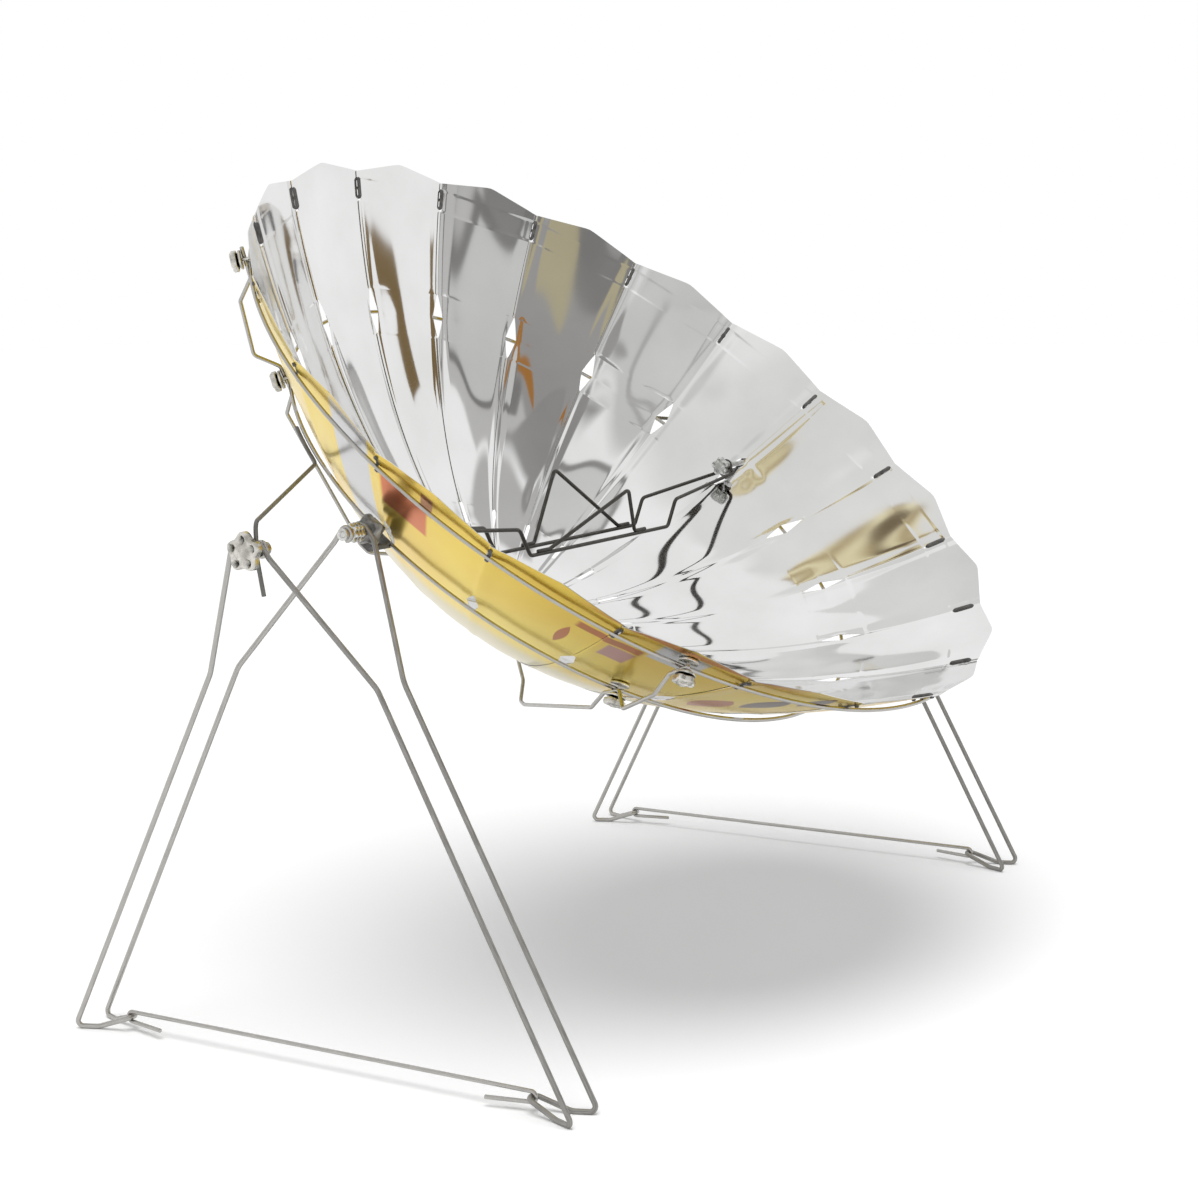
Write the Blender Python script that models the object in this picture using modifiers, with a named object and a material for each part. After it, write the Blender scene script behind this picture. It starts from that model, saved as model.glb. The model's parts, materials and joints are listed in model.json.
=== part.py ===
import math

import bmesh
import bpy
from mathutils import Matrix, Vector

# Driving dimensions, in metres and degrees. The frame stands on z = 0, the dish tilts
# about the X direction and faces -Y, and everything is symmetric about x = 0.
PETAL_COUNT = 20
FOCAL_LENGTH = 0.178
RIM_RADIUS = 0.430
CORNER_REACH = 0.0040
PETAL_INNER = 0.022
SHEET = 0.0005
AXIS_OVER_VERTEX = 0.162
AXIS_HEIGHT = 0.481
DISH_TILT = 37.5

GAP = 0.0003
LAP_GAP = 0.0005
LAP_ROOT = 0.0008
LAP_GROWTH = 0.0035

INNER_SLOT_RADIUS = 0.131
INNER_SLOT_LENGTH = 0.028
INNER_SLOT_WIDTH = 0.004
WINDOW_RADIUS = 0.326
WINDOW_LENGTH = 0.048
WINDOW_WIDTH = 0.014
RIM_SLOT_RADIUS = 0.4175
RIM_SLOT_LENGTH = 0.018
RIM_SLOT_WIDTH = 0.005

RING_WIRE = 0.002
LEG_WIRE = 0.0025
MID_RING_STANDOFF = 0.0055
RING_POINTS = 80

HUB_FLANGE = 0.042
HUB_SHANK = 0.008
HUB_PLATE = 0.003
HUB_DOME = 0.002
HUB_SHANK_PROUD = 0.010
HUB_NUT_BOSS = 0.017
HUB_NUT_HEIGHT = 0.005

BRACE_ANGLES = (45.0, 135.0, 225.0, 315.0)
BRACE_STANDOFF = 0.030
BRACE_DROP = 0.039
BRACE_PAST_RING = 0.010
BRACE_SHOULDER = 0.012
BRACE_KNEE = 0.014
CLAMP_PLATE_RADIUS = 0.0095
CLAMP_PLATE = 0.0023
CLAMP_KNOB = 0.011
CLAMP_KNOB_HEIGHT = 0.008
CLAMP_SCREW = 0.0015
CLAMP_LOBE = 0.0022

BOLT = 0.003
BOLT_FLANGE = 0.0058
BOLT_FLANGE_DEPTH = 0.0030
FLANGE_TO_WALL = 0.028
SPACER = 0.0095
SPACER_DEPTH = 0.0180
SPACER_BEVEL = 0.0035
HUB_KNOB = 0.0150
HUB_KNOB_DEPTH = 0.0130
HUB_KNOB_LOBE = 0.003
SADDLE_PLATE = 0.0060
SADDLE_WIDTH = 0.016
SADDLE_TOP = 0.0075
SADDLE_KNEE = 0.0146
SADDLE_OFF_WALL = 0.016
SADDLE_CLAW = 0.0052
SADDLE_SOLE = 0.0048
SADDLE_LIP = 0.004

OUTER_STACK = 0.5125
OUTER_HEAD = 0.0040
WASHER_DEPTH = 0.0020
WASHER_REACH = 0.030
OUTER_KNOB = 0.0180
OUTER_KNOB_DEPTH = 0.0130
OUTER_KNOB_LOBE = 0.0035
CRANK_TOP = 0.025
CRANK_TAIL = 0.039
CRANK_KNEE = 0.006
CRANK_KICK = 0.006
CRANK_ANGLE = 160.0
HOOK_SWEEP = 235.0
HOOK_RUN = 2.4
REAR_HOOK_RUN = 5.6
REAR_HOOK_FALL = 0.15

BEND_HEIGHT = 0.360
BEND_REACH = 0.094
BEND_OUTER = 0.486
BEND_INNER = 0.448
FOOT_REACH = 0.284
FOOT_OUTER = 0.488
FOOT_INNER = 0.447
FOOT_SINK = 0.0002
TIP_REACH = 0.229
TIP_HEIGHT = 0.0135
FOOT_FLAT = 0.022
LINK_WIRE = 0.002
LINK_TAIL = 0.043

CRADLE_WIRE = 0.002
CRADLE_DROP = 0.051
CRADLE_HALF_LENGTH = 0.135
CRADLE_HALF_WIDTH = 0.021
CRADLE_KNOB = 0.011
CRADLE_KNOB_DEPTH = 0.012
CRADLE_KNOB_LOBE = 0.0025
CRADLE_LEAN = 30.0
CRADLE_SHOULDER = 0.018
BAIL_APEX_FRONT = (0.030, 0.036, 0.000)
BAIL_APEX_REAR = (0.000, 0.036, 0.022)
BAIL_START = 0.100
BAIL_END = 0.065
BAIL_WELD = 0.022

HALF_PETAL = math.pi / PETAL_COUNT
LAP_OFFSET = (SHEET + LAP_GAP) / 2
STACK_HALF = LAP_OFFSET + SHEET / 2
WALL_AT_AXIS = math.sqrt(4 * FOCAL_LENGTH * AXIS_OVER_VERTEX)
RIM_RING_STANDOFF = STACK_HALF + GAP + RING_WIRE


def clear_scene():
    for item in list(bpy.data.objects):
        bpy.data.objects.remove(item)


def new_collection(name):
    collection = bpy.data.collections.new(name)
    bpy.context.scene.collection.children.link(collection)
    return collection


def paint(name, colour, roughness, metallic):
    material = bpy.data.materials.new(name)
    material.use_nodes = True
    shader = material.node_tree.nodes["Principled BSDF"]
    shader.inputs["Base Color"].default_value = (*colour, 1.0)
    shader.inputs["Roughness"].default_value = roughness
    shader.inputs["Metallic"].default_value = metallic
    return material


def mirror_film():
    return paint("mirror_film", (0.80, 0.80, 0.80), 0.08, 1.0)


def steel_wire():
    return paint("steel_wire", (0.42, 0.41, 0.39), 0.30, 1.0)


def dark_wire():
    return paint("dark_wire", (0.16, 0.155, 0.15), 0.35, 1.0)


def pale_cast():
    return paint("pale_cast", (0.62, 0.62, 0.60), 0.35, 0.9)


def dark_knob():
    return paint("dark_knob", (0.10, 0.095, 0.09), 0.35, 0.0)


def bright_knob():
    return paint("bright_knob", (0.55, 0.55, 0.53), 0.22, 0.9)


def place(item, collection, parent, material, matrix=None):
    collection.objects.link(item)
    item.data.materials.append(material)
    if parent is not None:
        item.parent = parent
    if matrix is not None:
        item.matrix_local = matrix
    return item


# Height over the tilt axis of the reflecting surface at radius r: r^2 / 4f - axis height.
def surface_height(radius):
    return radius * radius / (4 * FOCAL_LENGTH) - AXIS_OVER_VERTEX


# A point on the dish at a radius and an angle, moved out of the dish by an offset that is
# square to the surface. The angle runs from +X towards the rear of the rim.
def dish_point(radius, angle, out=0.0):
    slope = radius / (2 * FOCAL_LENGTH)
    length = math.hypot(1.0, slope)
    reach = radius + out * slope / length
    height = surface_height(radius) - out / length
    return Vector((reach * math.cos(angle), reach * math.sin(angle), height))


# Frame on the dish: local Z points out of the dish, X along the rim.
def dish_frame(radius, angle, out):
    slope = radius / (2 * FOCAL_LENGTH)
    length = math.hypot(1.0, slope)
    outward = Vector((slope * math.cos(angle), slope * math.sin(angle), -1.0)) / length
    along = Vector((-math.sin(angle), math.cos(angle), 0.0))
    across = outward.cross(along)
    frame = Matrix((along, across, outward)).transposed().to_4x4()
    frame.translation = dish_point(radius, angle, out)
    return frame


def lap_margin(radius):
    return LAP_ROOT + LAP_GROWTH * radius


# Radii of a petal's rows with how far its edge is cut back from the seam there.
def petal_rows():
    rows = [(PETAL_INNER, 0.0), (HUB_FLANGE, 0.0), (2 * HUB_FLANGE, 0.0)]
    windows = (
        (INNER_SLOT_RADIUS, INNER_SLOT_LENGTH, INNER_SLOT_WIDTH),
        (WINDOW_RADIUS, WINDOW_LENGTH, WINDOW_WIDTH),
        (RIM_SLOT_RADIUS, RIM_SLOT_LENGTH, RIM_SLOT_WIDTH),
    )
    for radius, length, width in windows:
        rows.append((radius - length / 2, 0.0))
        rows.append((radius, width / 2))
        rows.append((radius + length / 2, 0.0))
    first, last = INNER_SLOT_RADIUS + INNER_SLOT_LENGTH / 2, WINDOW_RADIUS - WINDOW_LENGTH / 2
    for step in (1, 2):
        rows.append((first + (last - first) * step / 3, 0.0))
    low, high = WINDOW_RADIUS + WINDOW_LENGTH / 2, RIM_SLOT_RADIUS - RIM_SLOT_LENGTH / 2
    rows.append(((low + high) / 2, 0.0))
    rows.append((RIM_RADIUS, 0.0))
    return sorted(rows)


# One row of a petal that points along +X. The strip is flat across, so a row lies on one
# line; past the seam it bends onto its neighbour's line. One edge lies inside and the
# other outside, so the petals overlap like the leaves of a fan.
def petal_row(radius, cut, corner):
    slope = radius / (2 * FOCAL_LENGTH)
    length = math.hypot(1.0, slope)
    margin = lap_margin(radius)
    seam = Vector((radius * math.cos(HALF_PETAL), radius * math.sin(HALF_PETAL)))
    if cut > 0.0:
        edge = seam + Vector((0.0, -cut))
        inner = edge + Vector((0.0, -2 * margin))
    else:
        edge = seam + margin * Vector((-math.sin(2 * HALF_PETAL), math.cos(2 * HALF_PETAL)))
        inner = seam + Vector((0.0, -margin))
    height = surface_height(radius)
    points = []
    for side, spots in ((-1, (edge, inner)), (1, (inner, edge))):
        shift = -side * LAP_OFFSET
        for spot in spots:
            x = spot.x + shift * slope / length * math.cos(HALF_PETAL)
            y = side * (spot.y + shift * slope / length * math.sin(HALF_PETAL))
            points.append(Vector((x, y, height - shift / length)))
        if side < 0:
            reach = seam.x + corner
            points.append(Vector((reach, 0.0, surface_height(reach / math.cos(HALF_PETAL)))))
    return points


def skin_mesh(name, rows, closed_across=False, cap_ends=False):
    grid = bmesh.new()
    lines = [[grid.verts.new(point) for point in row] for row in rows]
    count = len(lines[0])
    across = count if closed_across else count - 1
    for low, high in zip(lines, lines[1:]):
        for i in range(across):
            j = (i + 1) % count
            grid.faces.new((low[i], low[j], high[j], high[i]))
    if cap_ends:
        grid.faces.new(list(reversed(lines[0])))
        grid.faces.new(lines[-1])
    bmesh.ops.recalc_face_normals(grid, faces=grid.faces)
    mesh = bpy.data.meshes.new(name)
    grid.to_mesh(mesh)
    grid.free()
    return mesh


def petal_mesh():
    rows = petal_rows()
    lines = []
    for index, (radius, cut) in enumerate(rows):
        last = index == len(rows) - 1
        corner = RIM_RADIUS * (1 - math.cos(HALF_PETAL)) + CORNER_REACH if last else 0.0
        lines.append(petal_row(radius, cut, corner))
    return skin_mesh("petal", lines)


def add_petals(collection, parent, material, hole_cutter):
    mesh = petal_mesh()
    mesh.materials.append(material)
    for index in range(PETAL_COUNT):
        petal = bpy.data.objects.new(f"petal_{index + 1:02d}", mesh)
        collection.objects.link(petal)
        petal.parent = parent
        petal.rotation_euler = (0.0, 0.0, (2 * index + 1) * HALF_PETAL)
        shell = petal.modifiers.new("sheet", "SOLIDIFY")
        shell.thickness = SHEET
        shell.offset = 0.0
        if index in (0, PETAL_COUNT // 2 - 1, PETAL_COUNT // 2, PETAL_COUNT - 1):
            cut(petal, hole_cutter)


# Rounds the corners of a path: each corner becomes an arc of the given radius, or of the
# largest radius that its two sides have room for.
def rounded(points, radii, steps=3):
    points = [Vector(point) for point in points]
    path = [points[0]]
    for index in range(1, len(points) - 1):
        before, corner, after = points[index - 1], points[index], points[index + 1]
        to_before, to_after = before - corner, after - corner
        turn = math.pi - to_before.angle(to_after)
        if turn < 0.02 or radii[index - 1] <= 0.0:
            path.append(corner)
            continue
        room = 0.48 * min(to_before.length, to_after.length)
        tangent = min(radii[index - 1] * math.tan(turn / 2), room)
        radius = tangent / math.tan(turn / 2)
        start = corner + to_before.normalized() * tangent
        middle = (to_before.normalized() + to_after.normalized()).normalized()
        centre = corner + middle * radius / math.cos(turn / 2)
        first = start - centre
        second = corner + to_after.normalized() * tangent - centre
        for step in range(steps + 1):
            share = step / steps
            low = math.sin((1 - share) * turn) / math.sin(turn)
            high = math.sin(share * turn) / math.sin(turn)
            path.append(centre + low * first + high * second)
    path.append(points[-1])
    return path


def wire_curve(name, path, radius, cyclic=False, resolution=1):
    curve = bpy.data.curves.new(name, "CURVE")
    curve.dimensions = "3D"
    curve.bevel_depth = radius
    curve.bevel_resolution = resolution
    curve.use_fill_caps = not cyclic
    spline = curve.splines.new("POLY")
    spline.points.add(len(path) - 1)
    for point, spot in zip(spline.points, path):
        point.co = (*spot, 1.0)
    spline.use_cyclic_u = cyclic
    return bpy.data.objects.new(name, curve)


# Turns a curve object into a mesh with welded caps, so that it can be cut.
def as_mesh(item):
    name = item.name
    graph = bpy.context.evaluated_depsgraph_get()
    mesh = bpy.data.meshes.new_from_object(item.evaluated_get(graph))
    weld = bmesh.new()
    weld.from_mesh(mesh)
    bmesh.ops.remove_doubles(weld, verts=weld.verts, dist=0.00002)
    weld.to_mesh(mesh)
    weld.free()
    solid = bpy.data.objects.new(name + "_mesh", mesh)
    solid.matrix_world = item.matrix_world.copy()
    for holder in list(item.users_collection):
        holder.objects.link(solid)
    solid.parent = item.parent
    solid.matrix_parent_inverse = item.matrix_parent_inverse.copy()
    solid.matrix_local = item.matrix_local.copy()
    bpy.data.objects.remove(item)
    solid.name = name
    return solid


# A hook round a round bar that runs along X: points about the bar whose chords touch the
# given circle, ending where the wire leaves along a heading in the YZ plane.
def hook(centre, radius, heading, side, count=7):
    sweep = math.radians(HOOK_SWEEP)
    square = Vector((0.0, -heading.z, heading.y)) * side
    points = []
    radius = radius / math.cos(sweep / count / 2)
    for step in range(count + 1):
        back = sweep * (1 - step / count)
        points.append(centre + radius * (square * math.cos(back) - heading * math.sin(back)))
    return points


def lobed_circle(radius, depth, lobes, count, height):
    points = []
    for index in range(count):
        angle = 2 * math.pi * index / count
        reach = radius - depth * (1 - math.cos(lobes * angle)) / 2
        points.append(Vector((reach * math.cos(angle), reach * math.sin(angle), height)))
    return points


# Knob with five lobes: a loft from a round screw or bore to a lobed grip. Stations are
# height, radius and lobe depth from one end to the other; a bored knob closes on itself.
def knob_mesh(name, stations, bored=False, count=15):
    rows = [lobed_circle(radius, depth, 5, count, height) for height, radius, depth in stations]
    if bored:
        rows.append(rows[0])
        return ring_mesh(name, rows)
    return skin_mesh(name, rows, closed_across=True, cap_ends=True)


def ring_mesh(name, rows):
    grid = bmesh.new()
    lines = [[grid.verts.new(point) for point in row] for row in rows[:-1]]
    lines.append(lines[0])
    count = len(lines[0])
    for low, high in zip(lines, lines[1:]):
        for i in range(count):
            j = (i + 1) % count
            grid.faces.new((low[i], low[j], high[j], high[i]))
    bmesh.ops.recalc_face_normals(grid, faces=grid.faces)
    mesh = bpy.data.meshes.new(name)
    grid.to_mesh(mesh)
    grid.free()
    return mesh


def turned(name, profile, steps=16, closed=False):
    outline = bmesh.new()
    spots = [outline.verts.new((radius, 0.0, height)) for radius, height in profile]
    for low, high in zip(spots, spots[1:]):
        outline.edges.new((low, high))
    if closed:
        outline.edges.new((spots[-1], spots[0]))
    mesh = bpy.data.meshes.new(name)
    outline.to_mesh(mesh)
    outline.free()
    item = bpy.data.objects.new(name, mesh)
    screw = item.modifiers.new("turn", "SCREW")
    screw.steps = steps
    screw.render_steps = steps
    screw.use_merge_vertices = True
    screw.merge_threshold = 0.00005
    screw.use_smooth_shade = True
    return item


def flat_plate(name, outline, depth, holes=()):
    curve = bpy.data.curves.new(name, "CURVE")
    curve.dimensions = "2D"
    curve.fill_mode = "BOTH"
    curve.extrude = depth / 2
    loops = [outline]
    for x, y, radius in holes:
        ring = [2 * math.pi * step / 10 for step in range(10)]
        loops.append([(x + radius * math.cos(a), y + radius * math.sin(a)) for a in ring])
    for loop in loops:
        spline = curve.splines.new("POLY")
        spline.points.add(len(loop) - 1)
        for point, (x, y) in zip(spline.points, loop):
            point.co = (x, y, 0.0, 1.0)
        spline.use_cyclic_u = True
    return bpy.data.objects.new(name, curve)


def cutter_cylinder(name, collection, parent, radius, length, matrix):
    shape = bmesh.new()
    bmesh.ops.create_cone(shape, cap_ends=True, segments=16, radius1=radius, radius2=radius,
                          depth=length)
    mesh = bpy.data.meshes.new(name)
    shape.to_mesh(mesh)
    shape.free()
    cutter = bpy.data.objects.new(name, mesh)
    collection.objects.link(cutter)
    cutter.parent = parent
    cutter.matrix_local = matrix
    cutter.hide_render = True
    cutter.display_type = "WIRE"
    return cutter


def cut(item, cutter):
    hole = item.modifiers.new(cutter.name, "BOOLEAN")
    hole.operation = "DIFFERENCE"
    hole.object = cutter


# Turns local Z onto +X for side +1 and onto -X for side -1, with the origin at x.
def along_x(x, side):
    frame = Matrix.Rotation(side * math.pi / 2, 4, "Y")
    frame.translation = Vector((side * x, 0.0, 0.0))
    return frame


def add_rings(collection, parent, material):
    for name, radius, out in (
        ("rim_ring", RIM_SLOT_RADIUS + RING_WIRE / 2, RIM_RING_STANDOFF),
        ("mid_ring", WINDOW_RADIUS, MID_RING_STANDOFF),
    ):
        turns = [2 * math.pi * step / RING_POINTS for step in range(RING_POINTS)]
        path = [dish_point(radius, angle, out) for angle in turns]
        place(wire_curve(name, path, RING_WIRE, cyclic=True), collection, parent, material)


def add_hub(collection, parent, plate_material, nut_material):
    def level(radius, shift):
        return surface_height(radius) + shift

    seat = STACK_HALF + GAP
    top = seat + HUB_PLATE
    shank_end = -(top + HUB_SHANK_PROUD)
    neck = HUB_SHANK * 1.6
    screw_profile = [
        (0.0, level(0.0, top + HUB_DOME)), (neck, level(0.0, top + HUB_DOME)),
        (PETAL_INNER, level(PETAL_INNER, top)), (HUB_FLANGE, level(HUB_FLANGE, top)),
        (HUB_FLANGE, level(HUB_FLANGE, seat)), (PETAL_INNER, level(PETAL_INNER, seat)),
        (neck, level(neck, seat)), (HUB_SHANK, level(HUB_SHANK, seat)),
        (HUB_SHANK, level(0.0, shank_end)), (0.0, level(0.0, shank_end)),
    ]
    place(turned("hub_screw", screw_profile, steps=20), collection, parent, plate_material)
    bore = HUB_SHANK + GAP
    nut_profile = [
        (bore, level(bore, -seat)), (PETAL_INNER, level(PETAL_INNER, -seat)),
        (HUB_FLANGE, level(HUB_FLANGE, -seat)), (HUB_FLANGE, level(HUB_FLANGE, -top)),
        (HUB_NUT_BOSS, level(HUB_NUT_BOSS, -top)),
        (HUB_NUT_BOSS, level(0.0, -top - HUB_NUT_HEIGHT)),
        (bore, level(0.0, -top - HUB_NUT_HEIGHT)),
    ]
    nut = turned("hub_nut", nut_profile, steps=20, closed=True)
    place(nut, collection, parent, nut_material)


# Offsets of the clamp stack over the petal surface for a ring at the given stand-off:
# the ring, the brace wire that crosses it, the plates on both sides and the knob.
def clamp_levels(standoff):
    brace = standoff + 2 * RING_WIRE + GAP
    outer = brace + RING_WIRE + GAP + CLAMP_PLATE / 2
    inner = standoff - RING_WIRE - 3 * GAP - CLAMP_PLATE / 2
    return brace, inner, outer


# A brace wire runs down the back of the dish in two stand-off loops, from the rim ring
# across the mid ring to the hub nut. Each spot is a radius and an offset.
def add_braces(collection, parent, material):
    rim, mid = RIM_SLOT_RADIUS + RING_WIRE / 2, WINDOW_RADIUS
    rim_level = clamp_levels(RIM_RING_STANDOFF)[0]
    mid_level = clamp_levels(MID_RING_STANDOFF)[0]
    hub_level = STACK_HALF + HUB_PLATE + 2 * GAP + RING_WIRE
    past, knee = BRACE_SHOULDER, BRACE_SHOULDER + BRACE_KNEE
    spots = (
        (rim + BRACE_PAST_RING, rim_level), (rim - past, rim_level),
        (rim - knee, 0.8 * BRACE_STANDOFF), (mid + knee, BRACE_STANDOFF),
        (mid + past, mid_level), (mid - past, mid_level), (mid - knee, 0.8 * BRACE_STANDOFF),
        (mid / 2, BRACE_DROP), (mid / 2 - BRACE_SHOULDER, BRACE_DROP),
        (mid / 2 - 2 * BRACE_KNEE, 0.7 * BRACE_STANDOFF),
        (HUB_FLANGE + BRACE_KNEE, hub_level), (HUB_FLANGE * 0.55, hub_level),
    )
    radii = (0.006, 0.006, 0.008, 0.006, 0.006, 0.006, 0.010, 0.010, 0.010, 0.010)
    for index, degrees in enumerate(BRACE_ANGLES):
        angle = math.radians(degrees)
        path = rounded([dish_point(r, angle, out) for r, out in spots], radii, steps=2)
        brace = wire_curve(f"brace_{index + 1}", path, RING_WIRE)
        place(brace, collection, parent, material)


# Each clamp is one spool with a knob: two round plates hold the ring and the brace wire
# where they cross, and their screw passes beside both wires.
def add_ring_clamps(collection, parent, material):
    shift = RING_WIRE + CLAMP_SCREW + 3 * GAP
    offset = Matrix.Translation(Vector((shift, shift, 0.0)))
    half = CLAMP_PLATE / 2
    for name, radius, standoff in (
        ("rim_clamp", RIM_SLOT_RADIUS + RING_WIRE / 2, RIM_RING_STANDOFF),
        ("mid_clamp", WINDOW_RADIUS, MID_RING_STANDOFF),
    ):
        inner, outer = clamp_levels(standoff)[1:3]
        rise = outer - inner
        top = rise + half
        stations = (
            (-half, CLAMP_PLATE_RADIUS, 0.0), (half, CLAMP_PLATE_RADIUS, 0.0),
            (half, CLAMP_SCREW, 0.0), (rise - half, CLAMP_SCREW, 0.0),
            (rise - half, CLAMP_PLATE_RADIUS, 0.0), (top, CLAMP_PLATE_RADIUS, 0.0),
            (top, CLAMP_KNOB * 0.7, 0.0),
            (top + CLAMP_KNOB_HEIGHT * 0.3, CLAMP_KNOB, CLAMP_LOBE),
            (top + CLAMP_KNOB_HEIGHT * 0.8, CLAMP_KNOB, CLAMP_LOBE),
            (top + CLAMP_KNOB_HEIGHT, CLAMP_KNOB * 0.8, CLAMP_LOBE * 0.7),
        )
        mesh = knob_mesh(name, stations, count=10)
        mesh.materials.append(material)
        for index, degrees in enumerate(BRACE_ANGLES):
            clamp = bpy.data.objects.new(f"{name}_{index + 1}", mesh)
            collection.objects.link(clamp)
            clamp.parent = parent
            clamp.matrix_local = dish_frame(radius, math.radians(degrees), inner) @ offset


# Distances from the middle of the dish along the tilt axis, worked out from the wall of
# the dish towards the leg, and from the wall towards the pot cradle.
def inner_stack():
    stack = {}
    stack["saddle"] = WALL_AT_AXIS + SADDLE_OFF_WALL
    stack["knob"] = stack["saddle"] + SADDLE_PLATE + GAP
    stack["front_eye"] = stack["knob"] + HUB_KNOB_DEPTH + GAP + LEG_WIRE
    stack["spacer"] = stack["front_eye"] + LEG_WIRE + GAP
    stack["rear_eye"] = stack["spacer"] + SPACER_DEPTH + GAP + LEG_WIRE
    stack["head"] = stack["rear_eye"] + LEG_WIRE + GAP
    stack["flange"] = WALL_AT_AXIS - FLANGE_TO_WALL
    stack["first_eye"] = stack["flange"] - BOLT_FLANGE_DEPTH - GAP - CRADLE_WIRE
    stack["second_eye"] = stack["first_eye"] - 2 * CRADLE_WIRE - GAP
    stack["cradle_knob"] = stack["second_eye"] - CRADLE_WIRE - GAP
    return stack


def outer_stack():
    stack = {"head": OUTER_STACK}
    stack["rear_eye"] = OUTER_STACK + OUTER_HEAD + GAP + LEG_WIRE
    stack["front_eye"] = stack["rear_eye"] + 2 * LEG_WIRE + GAP
    stack["washer"] = stack["front_eye"] + LEG_WIRE + GAP
    stack["crank"] = stack["washer"] + WASHER_DEPTH + GAP + RING_WIRE
    stack["knob"] = stack["crank"] + RING_WIRE + GAP
    return stack


# The inner bolt has its head outside, a thick spacer collar between the hooks of the two
# legs, and a flange inside the dish for the pot cradle.
def add_bolts(collection, parent, material):
    stack, outer = inner_stack(), outer_stack()
    end = stack["cradle_knob"] - CRADLE_KNOB_DEPTH / 2
    tip = stack["head"] + BOLT_FLANGE_DEPTH
    near, far = stack["spacer"], stack["spacer"] + SPACER_DEPTH
    inner_profile = [
        (0.0, tip), (BOLT_FLANGE, tip), (BOLT_FLANGE, stack["head"]), (BOLT, stack["head"]),
        (BOLT, far), (SPACER - SPACER_BEVEL, far), (SPACER, far - SPACER_BEVEL),
        (SPACER, near + SPACER_BEVEL), (SPACER - SPACER_BEVEL, near), (BOLT, near),
        (BOLT, stack["flange"]), (BOLT_FLANGE, stack["flange"]),
        (BOLT_FLANGE, stack["flange"] - BOLT_FLANGE_DEPTH),
        (BOLT, stack["flange"] - BOLT_FLANGE_DEPTH), (BOLT, end), (0.0, end),
    ]
    far = outer["knob"] + OUTER_KNOB_DEPTH / 2
    outer_profile = [
        (0.0, far), (BOLT, far), (BOLT, outer["head"] + OUTER_HEAD),
        (BOLT_FLANGE, outer["head"] + OUTER_HEAD), (BOLT_FLANGE, outer["head"]),
        (0.0, outer["head"]),
    ]
    for name, profile in (("inner_bolt", inner_profile), ("outer_bolt", outer_profile)):
        for side, word in ((-1, "left"), (1, "right")):
            bolt = turned(f"{name}_{word}", profile, steps=12)
            place(bolt, collection, parent, material, along_x(0.0, side))


# The clamp knobs, each with its origin on the tilt axis.
def add_knobs(collection, knob_dish, dark, bright):
    stack, outer = inner_stack(), outer_stack()
    bore = BOLT + GAP
    for side, word in ((-1, "left"), (1, "right")):
        stations = (
            (0.0, bore, 0.0), (0.0, HUB_KNOB * 0.7, 0.0),
            (HUB_KNOB_DEPTH * 0.3, HUB_KNOB, HUB_KNOB_LOBE),
            (HUB_KNOB_DEPTH * 0.8, HUB_KNOB, HUB_KNOB_LOBE),
            (HUB_KNOB_DEPTH, HUB_KNOB * 0.75, HUB_KNOB_LOBE * 0.5), (HUB_KNOB_DEPTH, bore, 0.0),
        )
        mesh = knob_mesh(f"hub_knob_{word}", stations, bored=True, count=20)
        item = bpy.data.objects.new(f"hub_knob_{word}", mesh)
        place(item, collection, knob_dish, dark, along_x(stack["knob"], side))
        deep = OUTER_KNOB_DEPTH / 2 + GAP
        stations = (
            (deep, bore, 0.0), (0.0, bore, 0.0), (0.0, OUTER_KNOB * 0.7, 0.0),
            (OUTER_KNOB_DEPTH * 0.25, OUTER_KNOB, OUTER_KNOB_LOBE),
            (OUTER_KNOB_DEPTH * 0.7, OUTER_KNOB, OUTER_KNOB_LOBE),
            (OUTER_KNOB_DEPTH, OUTER_KNOB * 0.72, OUTER_KNOB_LOBE * 0.6),
        )
        mesh = knob_mesh(f"outer_knob_{word}", stations, count=20)
        item = bpy.data.objects.new(f"outer_knob_{word}", mesh)
        place(item, collection, knob_dish, bright, along_x(outer["knob"], side))


# The saddle hangs on the inner bolt between the dish and the hub knob, and its foot hooks
# round the mid ring. Local X runs out along the tilt axis, Y up the dish axis.
def add_saddles(collection, cutters, parent, material):
    stack = inner_stack()
    ring = dish_point(WINDOW_RADIUS, 0.0, MID_RING_STANDOFF)
    near, far = stack["saddle"], stack["saddle"] + SADDLE_PLATE
    sole, lip = ring.z - SADDLE_SOLE, ring.z + SADDLE_LIP
    outline = [
        (ring.x - SADDLE_CLAW, sole), (far, sole), (far, SADDLE_TOP), (near, SADDLE_TOP),
        (near, -SADDLE_KNEE), (ring.x + 1.4 * SADDLE_CLAW, -SADDLE_KNEE),
        (ring.x + SADDLE_CLAW, lip),
        (ring.x + 0.65 * SADDLE_CLAW, lip), (ring.x - SADDLE_CLAW, ring.z - 0.35 * SADDLE_CLAW),
    ]
    for side, word in ((-1, "left"), (1, "right")):
        drawn = [(side * x, y) for x, y in outline]
        frame = Matrix.Rotation(math.pi / 2, 4, "X")
        saddle = flat_plate(f"saddle_{word}", drawn, SADDLE_WIDTH)
        place(saddle, collection, parent, material, frame)
        saddle = as_mesh(saddle)
        groove = Matrix.Rotation(math.pi / 2, 4, "X")
        groove.translation = Vector((side * ring.x, 0.0, ring.z))
        cut(saddle, cutter_cylinder(f"ring_groove_{word}", cutters, parent, RING_WIRE + GAP,
                                    SADDLE_WIDTH * 2, groove))
        cut(saddle, cutter_cylinder(f"saddle_bore_{word}", cutters, parent, BOLT + GAP,
                                    4 * SADDLE_PLATE, along_x(far, side)))


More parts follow.
